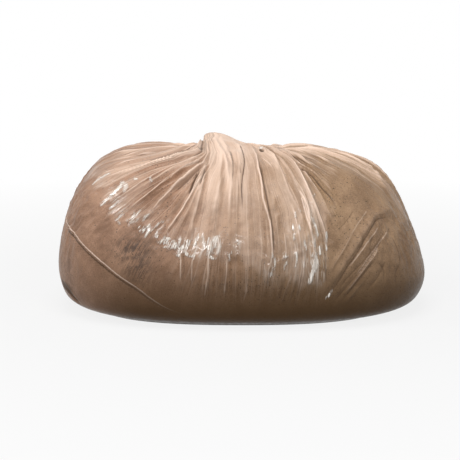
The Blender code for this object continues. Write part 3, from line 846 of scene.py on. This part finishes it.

# %% [markdown]
# ## Where the creased film shines
#
# The hard bright marks sit in a row of clusters along the edge of the loose film, and in long
# streaks down the right-hand band. Each mark is a short line with a width in millimetres, and nearly
# all of them are picked in the picture. The marks are painted highlights: they whiten the film's
# colour, and they also raise its gloss.

# %% Shining marks
SHINES = (
    (3, ((295, 0.835), (294, 0.8))),
    (2.2, picked((92, 184), (96, 180), (101, 177.5), (110, 174))),
    (3.3, picked((101, 204), (105, 200.5), (109, 197), (114, 192), (119, 187.5), (123, 183.5))),
    (4.4, picked((122, 183), (125, 186), (124, 191))),
    (1.7, picked((110, 208.5), (114, 204.5), (118, 201.5))),
    (2.2, picked((115, 220.5), (118, 217), (121, 214.5))),
    (1.7, picked((117, 221), (119, 224))),
    (1.7, picked((126, 222.5), (130, 218.5), (134, 213.5))),
    (1.7, picked((129, 223.5), (133, 219), (139, 211))),
    (1.7, picked((131, 224), (137, 219.5))),
    (2.2, picked((142, 221.5), (145, 217.5), (148, 216))),
    (2.8, picked((142, 232), (145, 227), (148, 226))),
    (2.8, picked((144, 236.5), (147, 231), (149, 227))),
    (2, picked((138, 226), (139, 231))),
    (2, picked((150, 231), (154, 228), (158, 224.5))),
    (1.7, picked((150, 180), (152, 183.5))),
    (1.7, picked((134, 179.5), (137, 180))),
    (2, picked((155, 239), (156, 233))),
    (2, picked((161, 223.5), (162, 221))),
    (3.9, picked((158, 242.5), (163, 241.5), (168, 245), (174, 248))),
    (2.8, picked((164, 239), (170, 240), (176, 246))),
    (2.2, picked((163, 247), (168, 249))),
    (3.3, picked((177, 254), (179, 247), (180, 240))),
    (3.9, picked((181, 252), (183, 243))),
    (2.8, picked((185, 249), (187, 241))),
    (2.8, picked((184, 252), (187, 255), (189, 257))),
    (2.2, picked((192, 256), (194, 258))),
    (1.7, picked((174, 254), (178, 257))),
    (2.2, picked((195, 241), (197, 236))),
    (1.7, picked((201, 235), (203, 240), (203, 250))),
    (1.7, picked((193, 246), (195, 243))),
    (3.3, picked((207, 257), (208, 248), (209, 239))),
    (2.5, picked((211, 254), (211, 245), (212, 238))),
    (2.5, picked((215, 247), (215, 237))),
    (2.5, picked((217, 254), (218, 245), (218, 236))),
    (2.2, picked((210, 257.5), (213, 259))),
    (2.2, picked((227, 260), (229, 256), (231, 252))),
    (1.7, picked((234, 240), (237, 243))),
    (1.7, picked((234, 245), (235, 249))),
    (1.7, picked((272, 254), (273, 262), (272.5, 270))),
    (1.7, picked((268.5, 273), (269, 278))),
    (2.2, picked((284, 254), (285, 258))),
    (1.7, picked((281, 259.5), (283, 258))),
    (1.7, picked((285.5, 262), (284, 267), (283.5, 270))),
    (1.7, picked((294, 253), (295, 260), (294, 268))),
    (1.3, picked((293.5, 214), (294.5, 219))),
    (1.7, picked((291, 226), (292, 230))),
    (1.8, picked((297.5, 226), (299, 230))),
    (1.5, picked((298, 211), (299, 213))),
    (1.3, picked((293, 234), (293, 240))),
    (1.4, picked((302.5, 240), (304, 245), (306, 251))),
    (1.9, picked((308, 213), (310, 219), (313, 227), (316, 236))),
    (1.3, picked((312, 235), (314, 247))),
    (1.4, picked((302.5, 262), (302.5, 268))),
    (2.8, picked((312, 255), (312, 262), (311, 270), (309, 283))),
    (1.8, picked((315, 254), (316, 263), (314, 273))),
    (1.8, picked((318, 247), (319, 256))),
    (2, picked((324.5, 234), (325, 241))),
    (1.4, picked((325, 240), (325, 250))),
    (1.9, picked((331, 291), (329, 295), (325, 298.5))),
    (1.4, picked((312, 198), (314, 195))),
)
MARK_MARGIN = 0.008

shine = np.zeros(len(flat_base))
for width_mm, places in SHINES:
    line = on_base(curve_through(places, 16))
    half = width_mm / 2000
    low, high = line.min(0) - MARK_MARGIN, line.max(0) + MARK_MARGIN
    chosen = np.where(np.all((flat_base > low) & (flat_base < high), axis=1))[0]
    distance, side, share = along_line(line, flat_base[chosen], flat_normals[chosen])
    mark = np.clip(1.5 - distance / half, 0, 1)
    shine[chosen] = np.maximum(shine[chosen], mark * (1 - 0.35 * np.abs(2 * share - 1) ** 4))
shine = shine.reshape(grid_shape)
print(len(SHINES), "shining marks on", (shine > 0.5).sum(), "points")

# %% [markdown]
# ## Crinkles
#
# Where the pleats run out on the shoulder the film is crumpled into small sharp facets, and these
# catch the light. The same noise is stretched along the flow, so that the crumples look pulled.

# %% Crinkles
CRINKLE_HEIGHT = 0.0010
WAVE_HEIGHT = 0.0016


def field(across, along, seed, octaves=3):
    """Smooth noise over the film, stretched along the flow of the pleats."""
    found = np.empty(grid_shape)
    for row in range(grid_shape[0]):
        for column in range(grid_shape[1]):
            p = (flow[row, column] * across, T[row, column] * along, seed)
            found[row, column] = noise.fractal(p, 0.9, 2.1, octaves)
    return found


edge_of_pleats = np.exp(-((T - 0.40) / 0.10) ** 2)
crumple = 1 - 2 * np.abs(field(2.6, 26, 1.7))
soft_waves = field(0.7, 6, 8.3, 2)
crinkle_lift = CRINKLE_HEIGHT * crumple * (0.2 + edge_of_pleats) * ease(0.12, 0.3, T)
crinkle_lift = crinkle_lift * (1 - 0.5 * ease(0.6, 0.9, T))
wave_lift = WAVE_HEIGHT * soft_waves * ease(0.08, 0.3, T) * (1 - ease(0.95, 1.1, T))
print("crinkles", (crinkle_lift.max() * 1000).round(2), "mm")

# %% [markdown]
# ## The film mesh
#
# Each grid point moves outwards by its pleat, fold and crinkle. At the mouth the film turns in and
# closes down inside the neck, so the mesh is one closed skin.

# %% How far the film moves
DROP = 0.0006
# A dip may press on the ash but not go into it, so it is free to this depth and then levels out
FREE_DIP = 0.0010
LAST_DIP = 0.0006
FRILL_HEIGHT = 0.0020
FRILLS = 9

total = lift + fold_lift + crinkle_lift + wave_lift
total = total * ease(0.0, 0.06, T) - DROP
levelled = -FREE_DIP - LAST_DIP * np.tanh((-FREE_DIP - total) / LAST_DIP)
total = np.where(total < -FREE_DIP, levelled, total)
mouth_frill = FRILL_HEIGHT * np.sin(np.radians(360) * flow / flow_lines * FRILLS + 0.6) * ease(1.12, 1.2, T)
film_points = base + out * (total + mouth_frill)[..., None]
film_points[..., 2] = np.maximum(film_points[..., 2], 0.0)
film_points[0, :, 2] = 0.0
print("film moves from", (total.min() * 1000).round(1), "to", (total.max() * 1000).round(1), "mm")


# %% Film mesh
def closed_skin(name, rings):
    """A smooth mesh through rings of points, closed with one face at each end."""
    vertex = np.arange(rings.shape[0] * rings.shape[1]).reshape(rings.shape[:2])
    here, there = vertex[:-1], vertex[1:]
    quads = np.stack([here, np.roll(here, -1, 1), np.roll(there, -1, 1), there], -1).reshape(-1, 4)
    faces = quads.tolist()
    faces.append(vertex[0][::-1].tolist())
    faces.append(vertex[-1].tolist())
    mesh = bpy.data.meshes.new(name)
    mesh.from_pydata(rings.reshape(-1, 3).tolist(), [], faces)
    mesh.update()
    mesh.shade_smooth()
    made = bpy.data.objects.new(name, mesh)
    bpy.context.scene.collection.objects.link(made)
    return made


# Rings inside the mouth: t on the neck, inset in metres and scale
MOUTH_RINGS = ((1.0, 0.0022, 1.0), (0.93, 0.0022, 0.72), (0.80, 0.002, 0.35))

inward = [neck(angles, np.full_like(angles, t), inset, scale) for t, inset, scale in MOUTH_RINGS]
rings = np.concatenate([film_points, np.array(inward)], 0)
film = closed_skin("film", rings)
film_mesh = film.data
print("film", len(film_mesh.vertices), "points")

# %% [markdown]
# ## Numbers for the finishes
#
# A finish can't know where a pleat stands or where the film clings, so each point of the mesh keeps
# a few numbers for it. Milky, strip and sheeted tell how pale the film is, and soot how sooty.
# Shade and painted low shade tell where shade is painted into the colour: in the folds and slits,
# and towards the floor. Gloss and shine tell where it shines, and shine also places the painted
# highlights. Strings tell how streaky it is. Flow and climb give the place on the film. Pale and dark
# gap are the distance to the nearest thin fold, and pale and dark line tell how strong its line is;
# the dark lines are painted shade. Soft patches do most of this work.

# %% How milky the film is
FULL_STAND_OFF = 0.006

stand_off = np.clip((lift + fold_lift) / FULL_STAND_OFF, 0, 1)
cling = 1.2 * patch(245, 0.50, 6, 0.07) + 0.7 * patch(236, 0.57, 6, 0.04) + 0.5 * patch(278, 0.62, 4, 0.10)
cling = np.clip(cling, 0, 1)
patches = 0.5 + 0.5 * field(0.9, 5, 4.1, 2)
blotches = field(2.6, 13, 9.2, 3)
milky = 0.06 + 0.19 * loose + 0.24 * ease(0.6, 0.98, T) + 0.10 * stand_off * loose
milky = milky * (1 - 0.85 * cling) * (0.72 + 0.52 * patches) + 0.10 * blotches * loose
milky += (0.36 * patch(275, 0.82, 13, 0.14) + 0.10 * patch(268, 0.62, 14, 0.2)
          - 0.25 * patch(300, 0.66, 7, 0.06))
milky -= 0.16 * patch(244, 0.485, 9, 0.05) + 0.20 * patch(296, 0.57, 5, 0.08) + 0.13 * lobe
milky = np.clip(milky + 0.30 * ease(0.90, 1.0, T) * in_front, 0, 1)
strip = np.clip(0.62 * crests + 0.85 * fold_milk, 0, 1)
print("milky from", milky.min().round(2), "to", milky.max().round(2))

# %% Where it is sooty, and where shade is painted
turn = np.degrees(A)
soot = (patch(240, 0.34, 7, 0.035) + 0.9 * patch(243, 0.28, 5, 0.04) + 0.5 * patch(268, 0.25, 14, 0.03)
        + 0.5 * patch(205, 0.25, 8, 0.05))
soot = np.clip(soot, 0, 1)
# Painted shade: the shade number darkens the folds and the pleats' slits, and two soft patches
shade = np.clip(fold_shade + 0.55 * slit_shade * ease(0.4, 0.7, T) + 0.9 * patch(202, 0.19, 6, 0.022)
                + 0.2 * patch(244, 0.485, 8, 0.045), 0, 1)
# Painted shade: the colour darkens towards the floor, standing in for the shade under the bag
painted_low_shade = (1 - ease(0.13, 0.42, T)) * (1 - 0.75 * ease(245, 205, turn) * ease(150, 180, turn))
print("sooty on", (soot > 0.5).sum(), "points")

# %% Where it shines and is streaky
on_arc = 0.35 + 0.65 * ease(196, 206, turn) * (1 - ease(268, 272, turn))
clusters = ease(-0.25, 0.45, field(1.6, 5, 6.3, 2))
arc = np.exp(-(((above_edge - 0.022) / 0.030) ** 2)) * on_arc * (0.3 + 0.7 * clusters)
right_band = (patch(288.5, 0.42, 2.6, 0.09) + patch(286.5, 0.31, 4.5, 0.06)
              + 0.8 * patch(274.5, 0.30, 1.8, 0.06))
gloss = 0.05 + 0.95 * np.clip(0.55 * arc + 0.35 * right_band + 0.2 * patch(282, 0.36, 5, 0.06) + shine, 0, 1)
strings = loose * (0.40 - 0.12 * patch(266, 0.75, 14, 0.2) + 0.25 * patch(236, 0.60, 20, 0.25))
strings = strings * (1 - 0.95 * ease(0.84, 0.98, T) * in_front)
strings = strings + 0.3 * patch(325, 0.75, 25, 0.2)
strings = strings + 0.6 * patch(264, 0.28, 9, 0.06) + 0.5 * patch(281, 0.24, 8, 0.05)
strings = np.clip(strings, 0, 1)
plain_neck = 1 - ease(0.9, 1.0, T) * (0.5 + 0.5 * in_front)
sheeted = loose * (1 - 0.45 * flat_part) * plain_neck * (1 - 0.7 * lobe)
print("glossy on", (gloss > 0.5).sum(), "points")


# %% Store the numbers on the film
def store(mesh, name, values):
    """Keeps one number for each point of the mesh. The rings inside the mouth repeat the last row."""
    layer = mesh.attributes.new(name, "FLOAT", "POINT")
    padded = np.concatenate([values, np.repeat(values[-1:], len(rings) - len(values), 0)], 0)
    layer.data.foreach_set("value", padded.reshape(-1).astype(np.float32))


kept = {
    "strings": strings, "sheeted": sheeted, "strip": strip, "shine": shine, "painted_low_shade": painted_low_shade,
    "milky": milky, "shade": shade, "soot": soot, "gloss": gloss, "flow": flow, "climb": T,
}
for tone in ("pale", "dark"):
    kept[tone + "_gap"] = line_gap[tone].reshape(grid_shape) / LINE_REACH
    kept[tone + "_line"] = line_strength[tone].reshape(grid_shape)
for name, values in kept.items():
    store(film_mesh, name, values)
print("stored", ", ".join(kept))

# %% [markdown]
# ## The ash
#
# Under the film lies the ash itself, a matt powder pressed against it. It needs no folds, only the
# settled lumps and a slightly rough skin.

# %% Ash mesh
ASH_COLUMNS = 260
ASH_ROWS = 90
ASH_INSET = 0.0026
ASH_FLOOR = 0.0015
GRIT_HEIGHT = 0.0006
GRIT_PER_METRE = 60

ash_angles = np.linspace(0, 2 * np.pi, ASH_COLUMNS, endpoint=False)
ash_heights = np.linspace(0, 1, ASH_ROWS + 1)
AA, AT = np.meshgrid(ash_angles, ash_heights)
heap = smooth_bag(AA, AT)
heap = heap - normals_of(heap) * ASH_INSET
heap[..., 2] = np.maximum(heap[..., 2], ASH_FLOOR)
for row in range(heap.shape[0]):
    for column in range(heap.shape[1]):
        p = Vector(heap[row, column])
        heap[row, column, 2] += GRIT_HEIGHT * noise.noise(p * GRIT_PER_METRE) * min(1.0, row / 8)
ash = closed_skin("ash", heap)
ash_mesh = ash.data
print("ash", len(ash_mesh.vertices), "points")

# %% [markdown]
# ## Ash seen near and far
#
# Both finishes need the look of ash: the heap, and the film that clings to it. So the powder is a
# group of shader nodes, built once. It mottles a pale and a dark brown over a few centimetres,
# adds fine grain, and scatters charcoal flecks, which gather in smudges. Each finish gives the
# group its own two browns and its own share of flecks.

# %% Node helpers
def new_group(name, inputs, outputs):
    """An empty shader node group with its sockets, and its two end nodes."""
    group = bpy.data.node_groups.new(name, "ShaderNodeTree")
    for label, kind, default in inputs:
        socket = group.interface.new_socket(label, in_out="INPUT", socket_type=kind)
        if default is not None:
            socket.default_value = default
    for label, kind in outputs:
        group.interface.new_socket(label, in_out="OUTPUT", socket_type=kind)
    return group, group.nodes.new("NodeGroupInput"), group.nodes.new("NodeGroupOutput")


def put(tree, kind, **values):
    """Adds a node. Names that are properties are set on it, all others on its input sockets."""
    node = tree.nodes.new(kind)
    for key, value in values.items():
        label = key.replace("_", " ")
        if hasattr(node, key):
            setattr(node, key, value)
        else:
            node.inputs[label].default_value = value
    return node


def math_node(tree, operation, a, b=None, clamp=False):
    """Adds a Math node fed by sockets or plain numbers, and gives its output."""
    node = tree.nodes.new("ShaderNodeMath")
    node.operation = operation
    node.use_clamp = clamp
    for slot, value in zip(node.inputs, (a, b)):
        if value is None:
            continue
        if isinstance(value, (int, float)):
            slot.default_value = value
        else:
            tree.links.new(value, slot)
    return node.outputs[0]


def times(tree, a, b, clamp=False):
    """The product of two sockets or numbers."""
    return math_node(tree, "MULTIPLY", a, b, clamp)


def plus(tree, a, b, clamp=False):
    """The sum of two sockets or numbers."""
    return math_node(tree, "ADD", a, b, clamp)


def minus(tree, a, b):
    """The first less the second."""
    return math_node(tree, "SUBTRACT", a, b)


def larger(tree, a, b):
    """The larger of two sockets or numbers."""
    return math_node(tree, "MAXIMUM", a, b)


def mixed(tree, share, first, second):
    """Mixes two colours, each a socket or a plain colour."""
    node = tree.nodes.new("ShaderNodeMix")
    node.data_type = "RGBA"
    for slot, value in ((node.inputs[0], share), (node.inputs[6], first), (node.inputs[7], second)):
        if isinstance(value, (int, float)):
            slot.default_value = value
        elif isinstance(value, tuple):
            slot.default_value = (*value, 1)
        else:
            tree.links.new(value, slot)
    return node.outputs[2]


def band(tree, value, low, high, to_low=0.0, to_high=1.0):
    """Stretches a value from low..high to a new range, with a smooth step."""
    node = tree.nodes.new("ShaderNodeMapRange")
    node.interpolation_type = "SMOOTHSTEP"
    node.inputs["From Min"].default_value = low
    node.inputs["From Max"].default_value = high
    node.inputs["To Min"].default_value = to_low
    node.inputs["To Max"].default_value = to_high
    tree.links.new(value, node.inputs["Value"])
    return node.outputs["Result"]


# %% Ash group
CHARCOAL = (0.035, 0.028, 0.024)

ash_group, inlet, outlet = new_group(
    "ash_powder",
    [("Place", "NodeSocketVector", None), ("Pale", "NodeSocketColor", (0.5, 0.4, 0.3, 1)),
     ("Dark", "NodeSocketColor", (0.2, 0.15, 0.1, 1)), ("Flecks", "NodeSocketFloat", 1.0)],
    [("Color", "NodeSocketColor"), ("Height", "NodeSocketFloat")],
)
mottle = put(ash_group, "ShaderNodeTexNoise", Scale=34.0, Detail=5.0, Roughness=0.62)
grain = put(ash_group, "ShaderNodeTexNoise", Scale=900.0, Detail=3.0, Roughness=0.7)
fleck_cells = put(ash_group, "ShaderNodeTexVoronoi", Scale=540.0, Randomness=1.0)
big_cells = put(ash_group, "ShaderNodeTexVoronoi", Scale=190.0, Randomness=1.0)
smudge = put(ash_group, "ShaderNodeTexNoise", Scale=17.0, Detail=3.0, Roughness=0.6)
for node in (mottle, grain, fleck_cells, big_cells, smudge):
    ash_group.links.new(inlet.outputs["Place"], node.inputs["Vector"])
mottled = times(ash_group, mottle.outputs["Fac"], 0.65)
mottled = plus(ash_group, mottled, times(ash_group, grain.outputs["Fac"], 0.55))
mottled = band(ash_group, mottled, 0.42, 0.78)
powder = mixed(ash_group, mottled, inlet.outputs["Dark"], inlet.outputs["Pale"])
pick = ash_group.nodes.new("ShaderNodeSeparateColor")
ash_group.links.new(fleck_cells.outputs["Color"], pick.inputs["Color"])
few = band(ash_group, pick.outputs["Red"], 0.74, 0.95)
dot = band(ash_group, fleck_cells.outputs["Distance"], 0.20, 0.42, 1.0, 0.0)
pick_big = ash_group.nodes.new("ShaderNodeSeparateColor")
ash_group.links.new(big_cells.outputs["Color"], pick_big.inputs["Color"])
few_big = band(ash_group, pick_big.outputs["Green"], 0.93, 0.96)
dot_big = band(ash_group, big_cells.outputs["Distance"], 0.08, 0.16, 1.0, 0.0)
crowd = band(ash_group, smudge.outputs["Fac"], 0.42, 0.62, 0.4, 1.0)
small_flecks = times(ash_group, times(ash_group, few, dot), crowd)
big_flecks = times(ash_group, few_big, dot_big)
flecks = larger(ash_group, small_flecks, big_flecks)
flecks = times(ash_group, flecks, inlet.outputs["Flecks"], clamp=True)
speckled = mixed(ash_group, flecks, powder, CHARCOAL)
ash_group.links.new(speckled, outlet.inputs["Color"])
roughness = plus(ash_group, grain.outputs["Fac"], mottle.outputs["Fac"])
ash_group.links.new(roughness, outlet.inputs["Height"])
print("ash group", len(ash_group.nodes), "nodes")

# %% Ash finish
ASH_PALE = (0.42, 0.31, 0.235, 1)
ASH_DARK = (0.22, 0.15, 0.105, 1)

ash_finish = bpy.data.materials.new("sieved_ash")
ash_finish.use_nodes = True
tree = ash_finish.node_tree
shader = tree.nodes["Principled BSDF"]
place = tree.nodes.new("ShaderNodeTexCoord")
powder_node = tree.nodes.new("ShaderNodeGroup")
powder_node.node_tree = ash_group
powder_node.inputs["Pale"].default_value = ASH_PALE
powder_node.inputs["Dark"].default_value = ASH_DARK
powder_node.inputs["Flecks"].default_value = 0.9
bump = put(tree, "ShaderNodeBump", Strength=0.35, Distance=0.0006)
tree.links.new(place.outputs["Object"], powder_node.inputs["Place"])
tree.links.new(powder_node.outputs["Color"], shader.inputs["Base Color"])
tree.links.new(powder_node.outputs["Height"], bump.inputs["Height"])
tree.links.new(bump.outputs["Normal"], shader.inputs["Normal"])
shader.inputs["Roughness"].default_value = 0.95
shader.inputs["Specular IOR Level"].default_value = 0.2
ash_mesh.materials.append(ash_finish)
print("ash finish ready")

# %% [markdown]
# ## Film finish
#
# Thin plastic over ash shows two things at once. Where it clings, the ash shows through and the
# film only wets it with gloss. Where it stands off in a pleat or doubles over, it turns milky and
# pale. The stored number milky moves each place between the two. Fine streaks run along the flow,
# and they also crease the surface. They come from noise whose two coordinates are flow and climb,
# so they bend with the pleats. The streaks are a group too, because that keeps the film's own tree
# short enough to read.

# %% Film streaks
streak_group, inlet, outlet = new_group(
    "film_streaks",
    [("Flow", "NodeSocketFloat", 0.0), ("Climb", "NodeSocketFloat", 0.0)],
    [("Fine", "NodeSocketFloat"), ("Coarse", "NodeSocketFloat"), ("Crumple", "NodeSocketFloat"),
     ("Lines", "NodeSocketFloat"), ("Gap shade", "NodeSocketFloat"), ("Strokes", "NodeSocketFloat"),
     ("Ragged", "NodeSocketFloat"), ("Sheets", "NodeSocketFloat")],
)


def stretched(across, along, seed, detail, roughness=0.6):
    """Noise whose cells are long in the direction of the pleats."""
    spot = streak_group.nodes.new("ShaderNodeCombineXYZ")
    streak_group.links.new(times(streak_group, inlet.outputs["Flow"], across), spot.inputs["X"])
    streak_group.links.new(times(streak_group, inlet.outputs["Climb"], along), spot.inputs["Y"])
    spot.inputs["Z"].default_value = seed
    made = put(streak_group, "ShaderNodeTexNoise", Scale=1.0, Detail=detail, Roughness=roughness)
    streak_group.links.new(spot.outputs["Vector"], made.inputs["Vector"])
    return made.outputs["Fac"]


wander = times(streak_group, stretched(0.9, 2.4, 2.2, 2), 0.55)
bent = plus(streak_group, inlet.outputs["Flow"], wander)


def crisp_lines(per_flow, seed, width, broken):
    """Thin uneven lines along the flow, which fade in and out on their way down."""
    across = plus(streak_group, times(streak_group, bent, per_flow), seed)
    cells = streak_group.nodes.new("ShaderNodeTexVoronoi")
    cells.voronoi_dimensions = "1D"
    cells.feature = "DISTANCE_TO_EDGE"
    cells.inputs["Scale"].default_value = 1.0
    streak_group.links.new(across, cells.inputs["W"])
    line = band(streak_group, cells.outputs["Distance"], 0.0, width, 1.0, 0.0)
    come_and_go = band(streak_group, stretched(per_flow * 0.9, 3.2, seed, 2), broken, broken + 0.14)
    return times(streak_group, line, come_and_go)


pale_lines = larger(streak_group, crisp_lines(1.9, 3.3, 0.07, 0.40), crisp_lines(4.3, 7.9, 0.12, 0.46))
streak_group.links.new(pale_lines, outlet.inputs["Lines"])


def sheets(per_flow, seed):
    """Strips of film side by side along the flow, each with its own tone and a crisp edge."""
    across = plus(streak_group, times(streak_group, bent, per_flow), seed)
    cells = streak_group.nodes.new("ShaderNodeTexVoronoi")
    cells.voronoi_dimensions = "1D"
    cells.inputs["Scale"].default_value = 1.0
    streak_group.links.new(across, cells.inputs["W"])
    tone = streak_group.nodes.new("ShaderNodeSeparateColor")
    streak_group.links.new(cells.outputs["Color"], tone.inputs["Color"])
    return tone.outputs["Red"]


wide_sheets = times(streak_group, sheets(1.3, 4.4), 0.6)
both_sheets = plus(streak_group, wide_sheets, times(streak_group, sheets(3.1, 11.2), 0.4))
streak_group.links.new(both_sheets, outlet.inputs["Sheets"])
# Painted shade: dark lines just beside the pale lines, as in the shadow of their fold
gap_shade_lines = larger(streak_group, crisp_lines(1.9, 3.38, 0.06, 0.42), crisp_lines(4.3, 8.03, 0.10, 0.50))
streak_group.links.new(gap_shade_lines, outlet.inputs["Gap shade"])
streak_group.links.new(stretched(22, 9, 0.3, 4), outlet.inputs["Fine"])
streak_group.links.new(stretched(7, 4, 5.1, 3), outlet.inputs["Coarse"])
streak_group.links.new(stretched(9, 52, 9.7, 4, 0.7), outlet.inputs["Crumple"])
streak_group.links.new(stretched(36, 24, 18.1, 2), outlet.inputs["Ragged"])
long_strokes = band(streak_group, stretched(15, 17, 12.4, 3), 0.51, 0.58)
short_strokes = band(streak_group, stretched(24, 30, 15.8, 2), 0.56, 0.63)
streak_group.links.new(larger(streak_group, long_strokes, short_strokes), outlet.inputs["Strokes"])
print("streak group", len(streak_group.nodes), "nodes")

# %% Numbers in the film finish
film_finish = bpy.data.materials.new("milky_film")
film_finish.use_nodes = True
tree = film_finish.node_tree
shader = tree.nodes["Principled BSDF"]


def stored(name):
    """One of the numbers that are stored on the film mesh."""
    node = tree.nodes.new("ShaderNodeAttribute")
    node.attribute_name = name
    return node.outputs["Fac"]


milky_in, shade_in, flow_in, climb_in = (stored(n) for n in ("milky", "shade", "flow", "climb"))
soot_in, gloss_in, strings_in = stored("soot"), stored("gloss"), stored("strings")
shine_in, painted_low_shade_in, strip_in, sheeted_in = (stored(n) for n in ("shine", "painted_low_shade", "strip", "sheeted"))
place = tree.nodes.new("ShaderNodeTexCoord")
streaks = tree.nodes.new("ShaderNodeGroup")
streaks.node_tree = streak_group
tree.links.new(flow_in, streaks.inputs["Flow"])
tree.links.new(climb_in, streaks.inputs["Climb"])
print("film finish reads", len(tree.nodes), "nodes so far")

# %% How much milk each place has
fine = band(tree, streaks.outputs["Fine"], 0.38, 0.66)
coarse = band(tree, streaks.outputs["Coarse"], 0.36, 0.64)
streak_tone = plus(tree, times(tree, fine, 0.4), times(tree, coarse, 0.6))
streak_push = times(tree, minus(tree, streak_tone, 0.5), 0.45)
streak_push = times(tree, streak_push, strings_in)
line_push = times(tree, times(tree, streaks.outputs["Lines"], strings_in), 0.42)
milk = plus(tree, plus(tree, milky_in, streak_push), line_push, clamp=True)
sheet_push = times(tree, minus(tree, streaks.outputs["Sheets"], 0.54), 0.66)
milk = plus(tree, milk, times(tree, sheet_push, sheeted_in))
milk = plus(tree, milk, band(tree, strip_in, 0.10, 0.55, 0.0, 0.60), clamp=True)
print("milk is made of", len(tree.nodes), "nodes")

# %% Ash seen through the film
ASH_SEEN_PALE = (0.395, 0.240, 0.150, 1)
ASH_SEEN_DARK = (0.210, 0.118, 0.070, 1)
SOOT = (0.06, 0.046, 0.04)
LEFT_TINT = (1.0, 0.965, 1.0)
RIGHT_TINT = (0.95, 1.0, 0.93)
MILKY_FILM = (0.745, 0.558, 0.44)

under = tree.nodes.new("ShaderNodeGroup")
under.node_tree = ash_group
under.inputs["Pale"].default_value = ASH_SEEN_PALE
under.inputs["Dark"].default_value = ASH_SEEN_DARK
tree.links.new(plus(tree, soot_in, 1.0), under.inputs["Flecks"])
tree.links.new(place.outputs["Object"], under.inputs["Place"])
ragged_grain = plus(tree, streaks.outputs["Crumple"], streaks.outputs["Ragged"])
sooty = times(tree, soot_in, band(tree, ragged_grain, 0.89, 1.10))
ash_seen = mixed(tree, times(tree, sooty, 0.9), under.outputs["Color"], SOOT)
split = tree.nodes.new("ShaderNodeSeparateXYZ")
tree.links.new(place.outputs["Object"], split.inputs["Vector"])
# The ash is a little pinker on the left and a little greener on the right
tint = mixed(tree, band(tree, split.outputs["X"], -0.10, 0.10), LEFT_TINT, RIGHT_TINT)
tinted = tree.nodes.new("ShaderNodeMix")
tinted.data_type = "RGBA"
tinted.blend_type = "MULTIPLY"
tinted.inputs[0].default_value = 1.0
tree.links.new(ash_seen, tinted.inputs[6])
tree.links.new(tint, tinted.inputs[7])
colour = mixed(tree, milk, tinted.outputs[2], MILKY_FILM)
print("ash and milk are mixed")

# %% Thin folds, painted shade at the foot and painted shade in slits
PALE_LINE = (0.86, 0.67, 0.55)
# Painted shade towards the floor
PAINTED_LOW_SHADE = (0.056, 0.027, 0.007)
# Painted shade in slits and creases
SLIT_SHADE = (0.075, 0.042, 0.024)
# Half the width of the lines, as a share of LINE_REACH
PALE_HALF = 0.20
DARK_HALF = 0.23


def crisp_line(tone, half):
    """A thin line drawn along the middle of each narrow fold, a little uneven."""
    waver = times(tree, minus(tree, streaks.outputs["Crumple"], 0.5), 0.20)
    gap = math_node(tree, "ABSOLUTE", plus(tree, stored(tone + "_gap"), waver))
    line = band(tree, gap, 0.45 * half, half, 1.0, 0.0)
    broken = band(tree, streaks.outputs["Ragged"], 0.30, 0.55, 0.55, 1.0)
    return times(tree, times(tree, line, broken), stored(tone + "_line"), clamp=True)


colour = mixed(tree, crisp_line("pale", PALE_HALF), colour, PALE_LINE)
# Painted shade: the foot of the bag is darkened in the film's colour
colour = mixed(tree, times(tree, painted_low_shade_in, 0.93), colour, PAINTED_LOW_SHADE)
# Painted shade beside the pale streak lines
gap_shade = times(tree, times(tree, streaks.outputs["Gap shade"], strings_in), 0.42)
dark = larger(tree, band(tree, shade_in, 0.10, 0.65, 0.0, 0.85), gap_shade)
# The dark lines are painted shade along the narrow creases
dark = larger(tree, dark, crisp_line("dark", DARK_HALF))
# Painted shade: slits, creases and gaps turn dark in the film's colour
colour = mixed(tree, dark, colour, SLIT_SHADE)
print("lines and slits are in")

# %% Painted highlights: shining marks and glint strokes
GLINT = (1.0, 0.94, 0.86)

ragged = times(tree, minus(tree, ragged_grain, 1.0), 4.5)
marks = band(tree, plus(tree, shine_in, ragged), 0.55, 0.9)
marks = times(tree, marks, band(tree, shine_in, 0.0, 0.3))
marks = times(tree, marks, band(tree, streaks.outputs["Fine"], 0.34, 0.52, 0.25, 1.0))
# Painted highlight: short white strokes where the film is glossy
painted_glint_strokes = times(tree, streaks.outputs["Strokes"], band(tree, gloss_in, 0.08, 0.9))
glints = larger(tree, marks, times(tree, painted_glint_strokes, 0.55))
# Painted highlight: the marks and the strokes whiten the film's colour like glints
colour = mixed(tree, times(tree, glints, 0.85), colour, GLINT)
tree.links.new(colour, shader.inputs["Base Color"])
print("colour is joined to the shader")

# %% Film surface
FILM_COAT_ROUGHNESS = 0.07
FILM_SPECULAR = 0.09

# The film is a little clearer where it clings and has no painted shade at the foot
dense = plus(tree, milk, painted_low_shade_in)
tree.links.new(band(tree, dense, 0.0, 0.6, 0.94, 1.0), shader.inputs["Alpha"])
rough = band(tree, streaks.outputs["Crumple"], 0.35, 0.65, 0.30, 0.46)
tree.links.new(rough, shader.inputs["Roughness"])
ribs = times(tree, times(tree, streaks.outputs["Lines"], strings_in), 0.5)
fibres = times(tree, streaks.outputs["Fine"], times(tree, strings_in, 0.2))
fibres = plus(tree, fibres, ribs)
fibres = plus(tree, fibres, times(tree, glints, 0.6))
crumpled = times(tree, streaks.outputs["Crumple"], plus(tree, gloss_in, 0.15))
crease = plus(tree, fibres, crumpled)
bump = put(tree, "ShaderNodeBump", Strength=0.7, Distance=0.0016)
tree.links.new(crease, bump.inputs["Height"])
tree.links.new(bump.outputs["Normal"], shader.inputs["Normal"])
tree.links.new(gloss_in, shader.inputs["Coat Weight"])
shader.inputs["Specular IOR Level"].default_value = FILM_SPECULAR
shader.inputs["Coat Roughness"].default_value = FILM_COAT_ROUGHNESS
shader.inputs["Coat IOR"].default_value = 1.5
film_mesh.materials.append(film_finish)
print("film finish has", len(tree.nodes), "nodes")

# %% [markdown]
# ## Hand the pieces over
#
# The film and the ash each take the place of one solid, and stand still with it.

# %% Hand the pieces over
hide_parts("film_bag")
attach(film, "root")
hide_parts("wood_ash")
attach(ash, "root")
